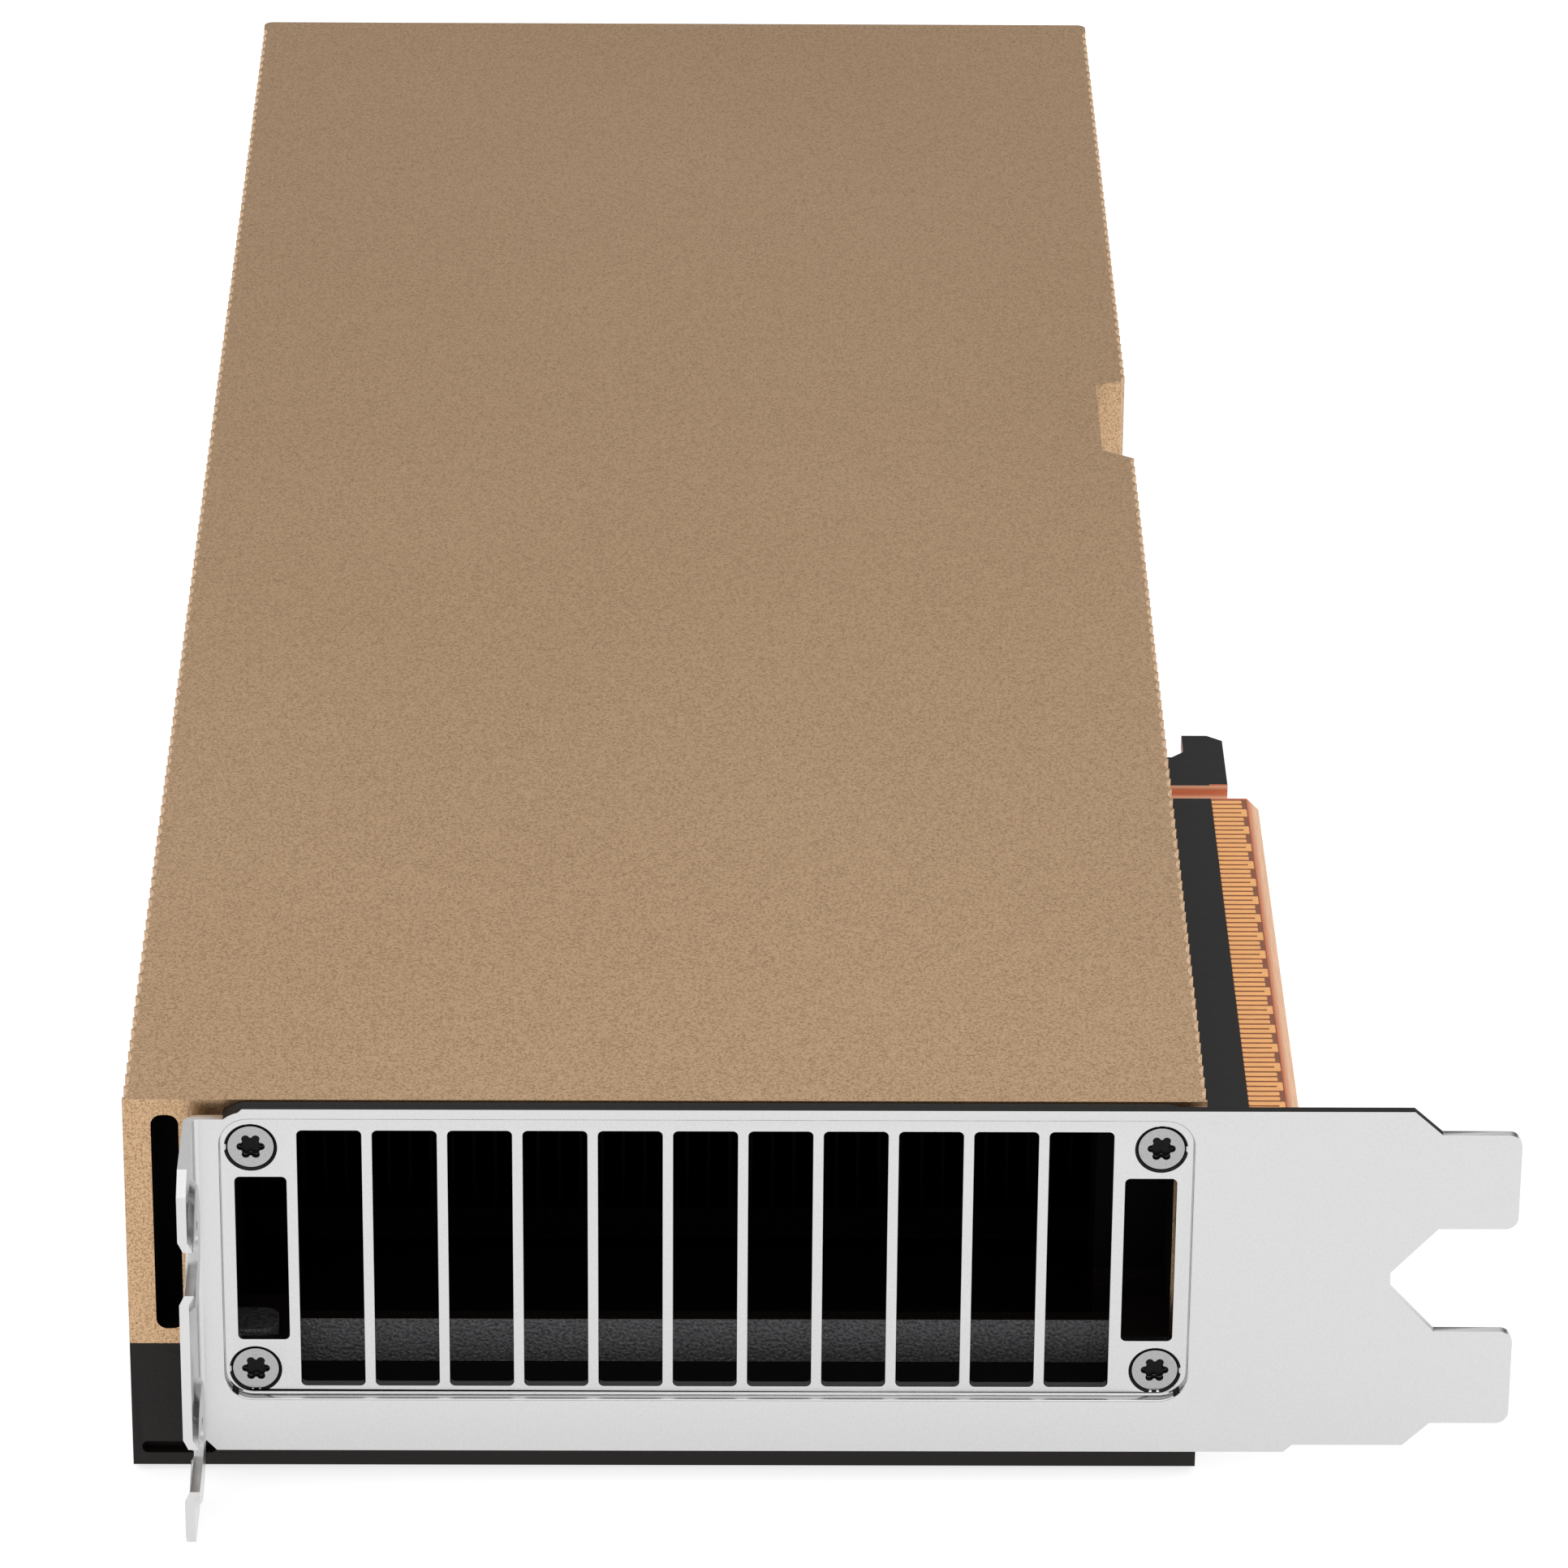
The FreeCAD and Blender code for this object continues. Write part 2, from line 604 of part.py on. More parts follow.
def fluted_block():
    block = doc.addObject("Part::Feature", "fluted_block")
    height = number("body_height - split_height")
    block.Shape = Part.Face(fluted_outline()).extrude(FreeCAD.Vector(0, 0, height))
    return place(block, "0", "0", "split_height")


def side_notch():
    """Latch notch: an upright channel in the right side, slanted at both ends."""
    outside = "body_width / 2 + overrun"
    inner_start = "(notch_start + notch_front_slant)"
    inner_end = f"({inner_start} + notch_length)"
    points = [
        (outside, "notch_start - overrun"),
        (outside, f"{inner_end} + notch_rear_slant + overrun"),
        (RIGHT, f"{inner_end} + notch_rear_slant"),
        (NOTCH_FLOOR, inner_end),
        (NOTCH_FLOOR, inner_start),
        ("body_width / 2 - notch_depth / 3", "notch_start + notch_front_slant / 3"),
        (RIGHT, "notch_start"),
    ]
    tool = prism("side_notch", "XY_Plane", points, "body_height")
    return place(tool, "0", "0", "split_height - overrun")


def notch_backing():
    return box("notch_backing", f"{NOTCH_FLOOR} - notch_liner", "notch_start - notch_liner",
               "split_height", "notch_depth - shroud_side / 2 + notch_liner",
               "notch_length + notch_front_slant + notch_rear_slant + 2 * notch_liner",
               f"{DUCT_TOP} - split_height + shroud_top / 2")


def front_vent():
    """Round-ended upright slot in the front wall, beside the bracket."""
    low = f"{LEFT} + vent_inset"
    sill = "split_height + vent_sill"
    body = prism("front_vent", "XZ_Plane",
                 rectangle(low, f"{low} + vent_width", sill, f"{sill} + vent_height"),
                 "shroud_front + 2 * overrun", True)
    round_edges(body, "front_vent_round", "vent_corner", lambda along, middle: near(abs(along.y), 1))
    return place(body, "0", f"{FRONT} - overrun", "0")


def make_top_shroud():
    low = "split_height - overrun"
    inner_height = f"{DUCT_TOP} - ({low})"
    duct = box("duct", f"{LEFT} + shroud_side", f"{FRONT} + shroud_front", low,
               "body_width - 2 * shroud_side", "body_length", inner_height)
    mouth = box("front_mouth", f"{TAB_FACE} + mouth_left", f"{FRONT} - overrun", low,
                f"{TAB_TO_RIGHT} - mouth_right - mouth_left", "shroud_front + 2 * overrun",
                inner_height)
    shell = cut("shroud_shell", fluted_block(), [duct, mouth])
    boss_base = "mount_high - mount_boss_side"
    inside = columns("shroud_column", "split_height", f"{DUCT_TOP} - split_height + shroud_top / 2")
    inside += mount_bosses("shroud_boss", "high", boss_base,
                           f"{DUCT_TOP} + shroud_top / 2 - ({boss_base})")
    inside.append(notch_backing())
    ribbed = fuse("shroud_ribbed", [shell] + inside)
    tools = [side_notch(), front_vent()]
    tools += corner_holes("shroud_thread", low, "column_screw_radius + thread_gap",
                          f"column_screw_length - ({low}) + overrun")
    tools += mount_holes("shroud_mount", "high")
    tools += fixing_holes("shroud_fixing", "high")
    return cut("top_shroud", ribbed, tools)


# ---------------------------------------------------------------- base frame

def front_slit():
    """Round-ended slit low on the left of the frame's front."""
    body = prism("front_slit", "XZ_Plane",
                 rectangle(f"{LEFT} + slit_inset", f"{LEFT} + slit_inset + slit_length",
                           "slit_sill", "slit_sill + slit_height"),
                 "slit_depth + overrun", True)
    round_edges(body, "front_slit_round", "slit_corner",
                lambda along, middle: near(abs(along.y), 1))
    return place(body, "0", f"{FRONT} - overrun", "0")


def make_base_frame():
    block = box("frame_block", LEFT, FRONT, "0", "body_width", "body_length", "split_height")
    bay_length = f"body_length - {FRONT_BAR} - frame_wall"
    bay_start = f"{FRONT} + {FRONT_BAR}"
    hollow = [
        box("plate_rebate", f"{LEFT} + plate_lip", f"{FRONT} + plate_lip", "-overrun",
            "body_width - 2 * plate_lip", "body_length - 2 * plate_lip",
            "plate_thickness + overrun"),
        box("board_bay", f"-{FRAME_INSIDE}", bay_start, "0", f"2 * {FRAME_INSIDE}", bay_length,
            BOARD_TOP),
        box("part_bay", f"-{FRAME_INSIDE} + flange_width", bay_start, "0",
            f"2 * ({FRAME_INSIDE} - flange_width)", bay_length, "split_height + overrun"),
        box("cooler_bay", f"-{FRAME_INSIDE}", bay_start, f"{BOARD_TOP} + flange_height",
            f"2 * {FRAME_INSIDE}", bay_length, "split_height"),
        box("ledge_space", f"{TAB_FACE} + mount_left + mount_boss_side", f"{FRONT} - overrun",
            "front_ledge_height",
            f"{MOUNT_PLACES['right']} - mount_left - 2 * mount_boss_side",
            "front_ledge_depth + overrun", "split_height"),
    ]
    shell = cut("frame_shell", block, hollow)
    solid = fuse("frame_solid", [shell]
                 + columns("frame_column", BOARD_TOP, f"split_height - {BOARD_TOP}")
                 + mount_bosses("frame_boss", "low", BOARD_TOP, f"split_height - {BOARD_TOP}"))
    tools = [
        front_slit(),
        box("tongue_opening", BOARD_EDGE, f"{TONGUE_START} - tongue_end_gap", "-overrun",
            "frame_wall + board_gap + overrun", f"{HOOK_END} - {TONGUE_START} + 2 * tongue_end_gap",
            f"{BOARD_TOP} + tongue_clearance + overrun"),
        box("inlet_opening", f"{INLET_X} - inlet_width / 2 - inlet_gap",
            f"{REAR} - frame_wall - overrun", "board_base", "inlet_width + 2 * inlet_gap",
            "frame_wall + 2 * overrun", "split_height"),
    ]
    tools += corner_holes("frame_corner", "0", "column_screw_radius + screw_gap",
                          "split_height + overrun")
    tools += mount_holes("frame_mount", "low")
    tools += fixing_holes("frame_fixing", "low")
    tools += [
        cylinder(f"frame_flange_{tag}", x, y, "0", "flange_screw_radius + thread_gap",
                 "flange_screw_length + flange_screw_runout")
        for tag, x, y in FLANGE_SCREWS
    ]
    return cut("base_frame", solid, tools)


# ---------------------------------------------------------------- backplate side

def make_backplate():
    inset = "(plate_lip + plate_gap)"
    plate = box("plate_blank", f"{LEFT} + {inset}", f"{FRONT} + {inset}", "0",
                f"body_width - 2 * {inset}", f"body_length - 2 * {inset}", "plate_thickness")
    tools = []
    for screws, radius in ((CORNERS, "column_screw_radius"), (FLANGE_SCREWS, "flange_screw_radius")):
        for tag, x, y in screws:
            head = f"({radius} * head_ratio)"
            tools.append(cylinder(f"plate_{radius}_{tag}", x, y, "-overrun",
                                  f"{radius} + screw_gap", "plate_thickness + 2 * overrun"))
            tools.append(cone(f"plate_seat_{radius}_{tag}", x, y, "0", head + " + thread_gap",
                              radius, f"{head} + thread_gap - {radius}"))
    for tag, x, y in POSTS:
        tools.append(cylinder(f"plate_access_{tag}", x, y, "-overrun",
                              "retention_head + screw_gap", "plate_thickness + 2 * overrun"))
    return cut("backplate", plate, tools)


def make_plate_screws(name, screws, radius, length):
    return group(name, [
        countersunk_screw(f"{name}_{tag}", x, y, "0", radius, f"({radius} * head_ratio)",
                          length, "z")
        for tag, x, y in screws
    ])


def make_standoffs():
    """Tubes between backplate and board round every plate screw."""
    height = "board_base - plate_thickness"
    tubes = []
    for screws, radius in ((CORNERS, "column_screw_radius"), (FLANGE_SCREWS, "flange_screw_radius")):
        for tag, x, y in screws:
            name = f"standoff_{radius}_{tag}"
            outer = cylinder(name + "_outer", x, y, "plate_thickness", "standoff_radius", height)
            inner = cylinder(name + "_inner", x, y, "plate_thickness",
                             f"{radius} + screw_gap", height)
            tubes.append(cut(name, outer, [inner]))
    return group("board_standoffs", tubes)


def make_insulator():
    sheet_blank = box("insulator_blank", f"-{FRAME_INSIDE} + insulator_margin",
                      f"{BOARD_FRONT} + insulator_margin", "plate_thickness",
                      f"2 * ({FRAME_INSIDE} - insulator_margin)",
                      f"{BOARD_REAR} - {BOARD_FRONT} - 2 * insulator_margin",
                      "insulator_thickness")
    tools = [
        cylinder(f"insulator_hole_{tag}", x, y, "0", "retention_head + screw_gap", "board_base")
        for tag, x, y in POSTS
    ]
    return cut("backplate_insulator", sheet_blank, tools)


# ---------------------------------------------------------------- circuit board

def board_outline():
    edge = BOARD_EDGE
    tip = TONGUE_TIP
    tip_lead = f"{tip} - tongue_lead_across"
    low_key = "key_place - key_width / 2"
    high_key = "key_place + key_width / 2"
    gap_floor = f"{edge} + hook_gap_floor"
    reach = f"{edge} + hook_reach"
    tail = f"{reach} - hook_tail"
    neck = f"{HOOK_START} + hook_neck"
    return [
        (f"-{edge}", BOARD_FRONT),
        (edge, BOARD_FRONT),
        (edge, TONGUE_START),
        (tip_lead, TONGUE_START),
        (tip, f"{TONGUE_START} + tongue_lead"),
        (tip, f"{low_key} - key_lead"),
        (f"{tip} - key_lead", low_key),
        (f"{tip} - key_depth", low_key),
        (f"{tip} - key_depth", high_key),
        (f"{tip} - key_lead", high_key),
        (tip, f"{high_key} + key_lead"),
        (tip, f"{TONGUE_END} - tongue_lead"),
        (tip_lead, TONGUE_END),
        (gap_floor, TONGUE_END),
        (gap_floor, HOOK_START),
        (reach, HOOK_START),
        (reach, f"{HOOK_END} - hook_bevel_along"),
        (f"{reach} - hook_bevel", HOOK_END),
        (tail, HOOK_END),
        (tail, f"{neck} + hook_fillet"),
        (f"{tail} - hook_fillet", neck),
        (edge, neck),
        (edge, BOARD_REAR),
        (f"-{edge}", BOARD_REAR),
    ]


def tip_bevel(name, face, height):
    """Wedge that bevels one face of the tongue's tip."""
    outside = f"{TONGUE_TIP} + overrun"
    points = [
        (f"{TONGUE_TIP} - tongue_bevel", face),
        (outside, f"{face} + {height} * (tongue_bevel + overrun) / tongue_bevel"),
        (outside, face),
    ]
    tool = prism(name, "XZ_Plane", points, "tongue_near + tongue_far + 2 * overrun", True)
    return place(tool, "0", f"{TONGUE_START} - overrun", "0")


def make_circuit_board():
    blank = prism("board_blank", "XY_Plane", board_outline(), "board_thickness")
    place(blank, "0", "0", "board_base")
    tools = [
        tip_bevel("lower_bevel", "board_base", "tongue_bevel_height"),
        tip_bevel("upper_bevel", BOARD_TOP, "-tongue_bevel_height"),
    ]
    for screws, radius in ((CORNERS, "column_screw_radius"), (FLANGE_SCREWS, "flange_screw_radius"),
                           (POSTS, "retention_radius")):
        for tag, x, y in screws:
            tools.append(cylinder(f"board_{radius}_{tag}", x, y, "0", f"{radius} + screw_gap",
                                  "split_height"))
    return cut("circuit_board", blank, tools)


def make_contacts(name, z):
    """One row of edge contacts, every second pair a little shorter."""
    places = []
    for room, way in (("tongue_near", "-"), ("tongue_far", "+")):
        places += [f"key_place {way} ({i} + 1.5) * contact_pitch"
                   for i in range(copies(f"{room} - contact_pitch", "contact_pitch"))]
    strips = []
    for i, along in enumerate(places):
        length = "contact_root - contact_end" + (" - contact_step" if i // 2 % 2 else "")
        strips.append(box(f"{name}_{i}", f"{TONGUE_TIP} - contact_root",
                          f"{along} - contact_width / 2", z, length, "contact_width",
                          "contact_thickness"))
    return group(name, strips)


# ---------------------------------------------------------------- processor package

SUBSTRATE_TOP = f"({BOARD_TOP} + substrate_height)"


def make_package_substrate():
    return centred_box("package_substrate", "0", "package_place", BOARD_TOP, "package_side",
                       "package_side", "substrate_height")


def make_processor_die():
    return centred_box("processor_die", "0", "package_place", SUBSTRATE_TOP, "die_width",
                       "die_length", "silicon_height")


def make_memory_stacks():
    stacks = []
    for side, sign in SIDES:
        x = f"({sign} * (die_width / 2 + stack_gap + stack_width / 2))"
        for i in range(3):
            y = f"(package_place + {i - 1} * (stack_length + stack_gap))"
            stacks.append(centred_box(f"memory_{side}_{i}", x, y, SUBSTRATE_TOP, "stack_width",
                                      "stack_length", "silicon_height"))
    return group("memory_stacks", stacks)


def make_package_ring():
    outer = centred_box("ring_outer", "0", "package_place", SUBSTRATE_TOP, "package_side",
                        "package_side", "ring_height")
    inner = centred_box("ring_inner", "0", "package_place", SUBSTRATE_TOP,
                        "package_side - 2 * ring_width", "package_side - 2 * ring_width",
                        "ring_height")
    return cut("package_ring", outer, [inner])


def make_interface_sheet():
    return centred_box("thermal_interface", "0", "package_place",
                       f"{SUBSTRATE_TOP} + silicon_height",
                       "die_width + 2 * (stack_gap + stack_width)", "die_length",
                       "interface_thickness")


# ---------------------------------------------------------------- cooler

def make_vapour_chamber():
    return centred_box("vapour_chamber", "0", f"({CHAMBER_START} + {CHAMBER_END}) / 2",
                       CHAMBER_BASE, CHAMBER_WIDTH, f"{CHAMBER_END} - {CHAMBER_START}",
                       "chamber_thickness")


def make_fin_stack():
    fins = []
    last = copies(f"{CHAMBER_WIDTH} - fin_thickness", "fin_pitch")
    for i in range(last + 1):
        x = f"(({i} - {last} / 2) * fin_pitch)"
        fins.append(box(f"fin_{i}", f"{x} - fin_thickness / 2", CHAMBER_START, CHAMBER_TOP,
                        "fin_thickness", f"{CHAMBER_END} - {CHAMBER_START}",
                        f"{DUCT_TOP} - {CHAMBER_TOP} - fin_top_gap"))
    return group("fin_stack", fins)


def make_cooler_posts():
    height = f"{CHAMBER_BASE} - {BOARD_TOP}"
    posts = []
    for tag, x, y in POSTS:
        outer = cylinder(f"post_outer_{tag}", x, y, BOARD_TOP, "post_radius", height)
        inner = cylinder(f"post_inner_{tag}", x, y, BOARD_TOP, "retention_radius + thread_gap",
                         f"{height} - post_crown")
        posts.append(cut(f"post_{tag}", outer, [inner]))
    return group("cooler_posts", posts)


SPRING_BASE = "(board_base - spring_gap - spring_thickness)"


def make_spring_plate():
    blank = centred_box("spring_blank", "0", "package_place", SPRING_BASE, "spring_side",
                        "spring_side", "spring_thickness")
    tools = [centred_box("spring_hole", "0", "package_place", "0", "spring_window",
                         "spring_window", "board_base")]
    tools += [
        cylinder(f"spring_hole_{tag}", x, y, "0", "retention_radius + screw_gap", "board_base")
        for tag, x, y in POSTS
    ]
    return cut("retention_spring", blank, tools)


def make_retention_screws():
    screws = []
    for tag, x, y in POSTS:
        head = cylinder(f"retention_head_{tag}", x, y, f"{SPRING_BASE} - retention_head_height",
                        "retention_head", "retention_head_height")
        shank = cylinder(f"retention_shank_{tag}", x, y, SPRING_BASE, "retention_radius",
                         f"{CHAMBER_BASE} - {SPRING_BASE} - retention_reach")
        screws.append(fuse(f"retention_{tag}", [head, shank]))
    return group("retention_screws", screws)


def make_frame_pads():
    """Soft pads that carry heat from the frame's flanges to the vapour chamber."""
    width = "(flange_width - chamber_side_gap)"
    base = f"{BOARD_TOP} + flange_height"
    pads = [
        centred_box(f"frame_pad_{side}", f"({sign} * ({CHAMBER_WIDTH} - {width}) / 2)",
                    f"({CHAMBER_START} + {CHAMBER_END}) / 2", base, width,
                    f"{CHAMBER_END} - {CHAMBER_START}", f"{CHAMBER_BASE} - ({base})")
        for side, sign in SIDES
    ]
    return group("frame_thermal_pads", pads)


# ---------------------------------------------------------------- parts on the board

def row_places(amount, pitch, middle):
    """Evenly spaced places about a middle."""
    return [f"({middle} + ({i} - ({amount} - 1) / 2) * {pitch})" for i in range(count(amount))]


def make_inductors():
    return group("inductors", [
        centred_box(f"inductor_{side}_{i}", f"({sign} * {INDUCTOR_LINE})", y, BOARD_TOP,
                    "inductor_side", "inductor_side", "inductor_height")
        for side, sign in SIDES
        for i, y in enumerate(row_places("inductor_count", "inductor_pitch", "package_place"))
    ])


STAGE_ROWS = [
    (end, f"(package_place + {way} * (package_side / 2 + post_radius + stage_setback))")
    for end, way in (("front", "-1"), ("rear", "1"))
]


def make_power_stages():
    """Two rows of power stages, at the front and at the rear of the package."""
    chips = []
    for end, y in STAGE_ROWS:
        for i, x in enumerate(row_places("inductor_count", "inductor_pitch", "0")):
            chips.append(centred_box(f"stage_{end}_{i}", x, y, BOARD_TOP, "stage_side",
                                     "stage_side", "stage_height"))
    return group("power_stages", chips)


def make_stage_pads():
    height = f"{CHAMBER_BASE} - {BOARD_TOP} - stage_height"
    pads = [
        centred_box(f"stage_pad_{end}", "0", y, f"{BOARD_TOP} + stage_height",
                    "(inductor_count - 1) * inductor_pitch + stage_side", "stage_side", height)
        for end, y in STAGE_ROWS
    ]
    return group("stage_thermal_pads", pads)


def make_inductor_pads():
    pads = [
        centred_box(f"inductor_pad_{side}", f"({sign} * {INDUCTOR_LINE})", "package_place",
                    f"{BOARD_TOP} + inductor_height", "inductor_side",
                    "(inductor_count - 1) * inductor_pitch + inductor_side",
                    f"{CHAMBER_BASE} - {BOARD_TOP} - inductor_height")
        for side, sign in SIDES
    ]
    return group("inductor_thermal_pads", pads)


def make_bulk_capacitors():
    cans = [
        cylinder(f"bulk_{i}", x, f"{REAR} - bulk_setback", BOARD_TOP, "bulk_diameter / 2",
                 "bulk_height")
        for i, x in enumerate(row_places("bulk_count", "bulk_pitch", "0"))
    ]
    return group("bulk_capacitors", cans)


def make_ceramic_capacitors():
    """A row in front of the package and one behind it."""
    chips = []
    for row, y in (("front", "package_place - ceramic_front"), ("rear", "package_place + ceramic_rear")):
        for i, x in enumerate(row_places("ceramic_count", "ceramic_pitch", "0")):
            chips.append(centred_box(f"ceramic_{row}_{i}", x, f"({y})", BOARD_TOP,
                                     "ceramic_length", "ceramic_width", "ceramic_height"))
    return group("ceramic_capacitors", chips)


def make_controllers():
    return group("power_controllers", [
        centred_box(f"controller_{side}", f"({sign} * controller_place)",
                    "(package_place + controller_rear)", BOARD_TOP, "controller_side",
                    "controller_side", "chip_height")
        for side, sign in SIDES
    ])


def make_firmware_chip():
    return centred_box("firmware_chip", "0", "(package_place - firmware_front)", BOARD_TOP,
                       "firmware_length", "firmware_width", "chip_height")


def make_clock_crystal():
    return centred_box("clock_crystal", "crystal_place", "(package_place - firmware_front)", BOARD_TOP,
                       "crystal_length", "crystal_width", "chip_height")


# ---------------------------------------------------------------- power inlet

WAYS = [
    (f"{row}_{i}", f"({INLET_X} + {i - 1.5} * way_pitch)",
     f"({BOARD_TOP} + way_low + {row} * way_pitch)")
    for row in range(2)
    for i in range(4)
]


def make_power_inlet():
    housing = centred_box("inlet_housing", INLET_X, f"({REAR} - inlet_length / 2)",
                          BOARD_TOP, "inlet_width", "inlet_length", "inlet_height")
    latch = centred_box("inlet_latch", INLET_X, f"({REAR} - latch_length / 2)",
                        f"{BOARD_TOP} + inlet_height - latch_root", "latch_width",
                        "latch_length", "latch_height + latch_root")
    tools = [
        box(f"way_{tag}", f"{x} - way_side / 2", f"{REAR} - way_depth", f"{z} - way_side / 2",
            "way_side", "way_depth + overrun", "way_side")
        for tag, x, z in WAYS
    ]
    return cut("power_inlet", fuse("inlet_solid", [housing, latch]), tools)


def make_power_pins():
    return group("power_pins", [
        box(f"pin_{tag}", f"{x} - pin_side / 2", f"{REAR} - way_depth", f"{z} - pin_side / 2",
            "pin_side", "pin_length", "pin_side")
        for tag, x, z in WAYS
    ])


# ---------------------------------------------------------------- slot bracket

TONGUE_REACH = f"({TAB_TO_RIGHT} + tongue_reach)"


def bracket_outline():
    """Outline of the main plate, from the tab's outer face and the underside."""
    tongue_half = "tongue_width / 2"
    high = "(tongue_low + slot_spacing)"
    middle = "(tongue_low + slot_spacing / 2)"
    step = f"{TAB_TO_RIGHT} + base_step_place"
    stepped = "bracket_base + base_step"
    heel = "(bracket_base + heel_step)"
    shoulder_start = f"{TAB_TO_RIGHT} + shoulder_place"
    shoulder = f"({shoulder_start} + shoulder_run)"
    throat = f"{TAB_TO_RIGHT} + throat_place"
    return [
        ("0", heel),
        ("heel_place", heel),
        ("heel_place + heel_run", "bracket_base"),
        (f"{step} - base_step_run / 2", "bracket_base"),
        (f"{step} + base_step_run / 2", stepped),
        (shoulder_start, stepped),
        (shoulder, f"tongue_low - {tongue_half}"),
        (TONGUE_REACH, f"tongue_low - {tongue_half}"),
        (TONGUE_REACH, f"tongue_low + {tongue_half}"),
        (shoulder, f"tongue_low + {tongue_half}"),
        (throat, f"{middle} - throat_width / 2"),
        (throat, f"{middle} + throat_width / 2"),
        (shoulder, f"{high} - {tongue_half}"),
        (TONGUE_REACH, f"{high} - {tongue_half}"),
        (TONGUE_REACH, f"{high} + {tongue_half}"),
        (shoulder, f"{high} + {tongue_half}"),
        (f"{shoulder_start} - shoulder_back", "bracket_top"),
        ("top_step_place + top_step", "bracket_top"),
        ("top_step_place", "bracket_top - top_step"),
        ("0", "bracket_top - top_step"),
    ]


def tab_outline():
    """Outline of the bent tab; first coordinate along the card, second up."""
    top = "bracket_top - top_step"
    return [
        ("sheet_thickness", "bracket_base + heel_step"),
        ("-tab_relief", "bracket_base + heel_step"),
        ("-tab_relief - tab_corner", "tab_base"),
        ("-tab_length + tab_corner", "tab_base"),
        ("-tab_length", "tab_base + tab_corner"),
        ("-tab_length", f"{top} - tab_chamfer_drop"),
        ("-tab_length + tab_chamfer", top),
        ("sheet_thickness", top),
    ]


def make_bracket_blank():
    """Plate and tab as one folded sheet."""
    body = doc.addObject("PartDesign::Body", "bracket_blank")
    plate = new_sketch(body, "plate_sketch", "XZ_Plane")
    draw_polygon(plate, bracket_outline())
    pad(body, "plate_pad", plate, "sheet_thickness", True)
    round_edges(body, "tongue_rounds", "tongue_corner",
                lambda along, middle: near(abs(along.y), 1)
                and near(middle.x, number(TONGUE_REACH)))

    tab = new_sketch(body, "tab_sketch", "YZ_Plane")
    draw_polygon(tab, tab_outline())
    pad(body, "tab_pad", tab, "sheet_thickness")
    return place(body, TAB_FACE, BRACKET_FACE, "0")


def panel_block(name, grow, start, depth):
    """Round-cornered block the size of the pressed panel's front, grown all round."""
    body = prism(name, "XZ_Plane",
                 rectangle(f"recess_left - {grow}", f"{TAB_TO_RIGHT} - recess_right + {grow}",
                           f"recess_base - {grow}", f"recess_top + {grow}"), depth, True)
    round_edges(body, name + "_rounds", f"recess_corner + {grow}",
                lambda along, middle: near(abs(along.y), 1))
    return place(body, TAB_FACE, start, "0")


def slot_tool(name, x_low, width, z_low, z_high):
    """One round-cornered air slot through the pressed panel."""
    body = prism(name, "XZ_Plane", rectangle("0", width, "0", f"{z_high} - {z_low}"),
                 "recess_depth + sheet_thickness + 2 * overrun", True)
    round_edges(body, name + "_rounds", "vane_corner",
                lambda along, middle: near(abs(along.y), 1))
    return place(body, f"{TAB_FACE} + {x_low}", f"{BRACKET_FACE} - overrun", z_low)


def screw_notch(name, z):
    """Open-ended screw notch through the tab."""
    end = f"({BRACKET_FACE} - tab_length + screw_notch_depth)"
    across = f"{TAB_FACE} - overrun"
    reach = "sheet_thickness + dish_depth + 2 * overrun"
    return [
        box(name + "_mouth", across, f"{end} - screw_notch_depth - overrun",
            f"{z} - screw_notch_width / 2", reach, "screw_notch_depth + overrun",
            "screw_notch_width"),
        cylinder(name + "_end", across, end, z, "screw_notch_width / 2", reach, "x"),
    ]


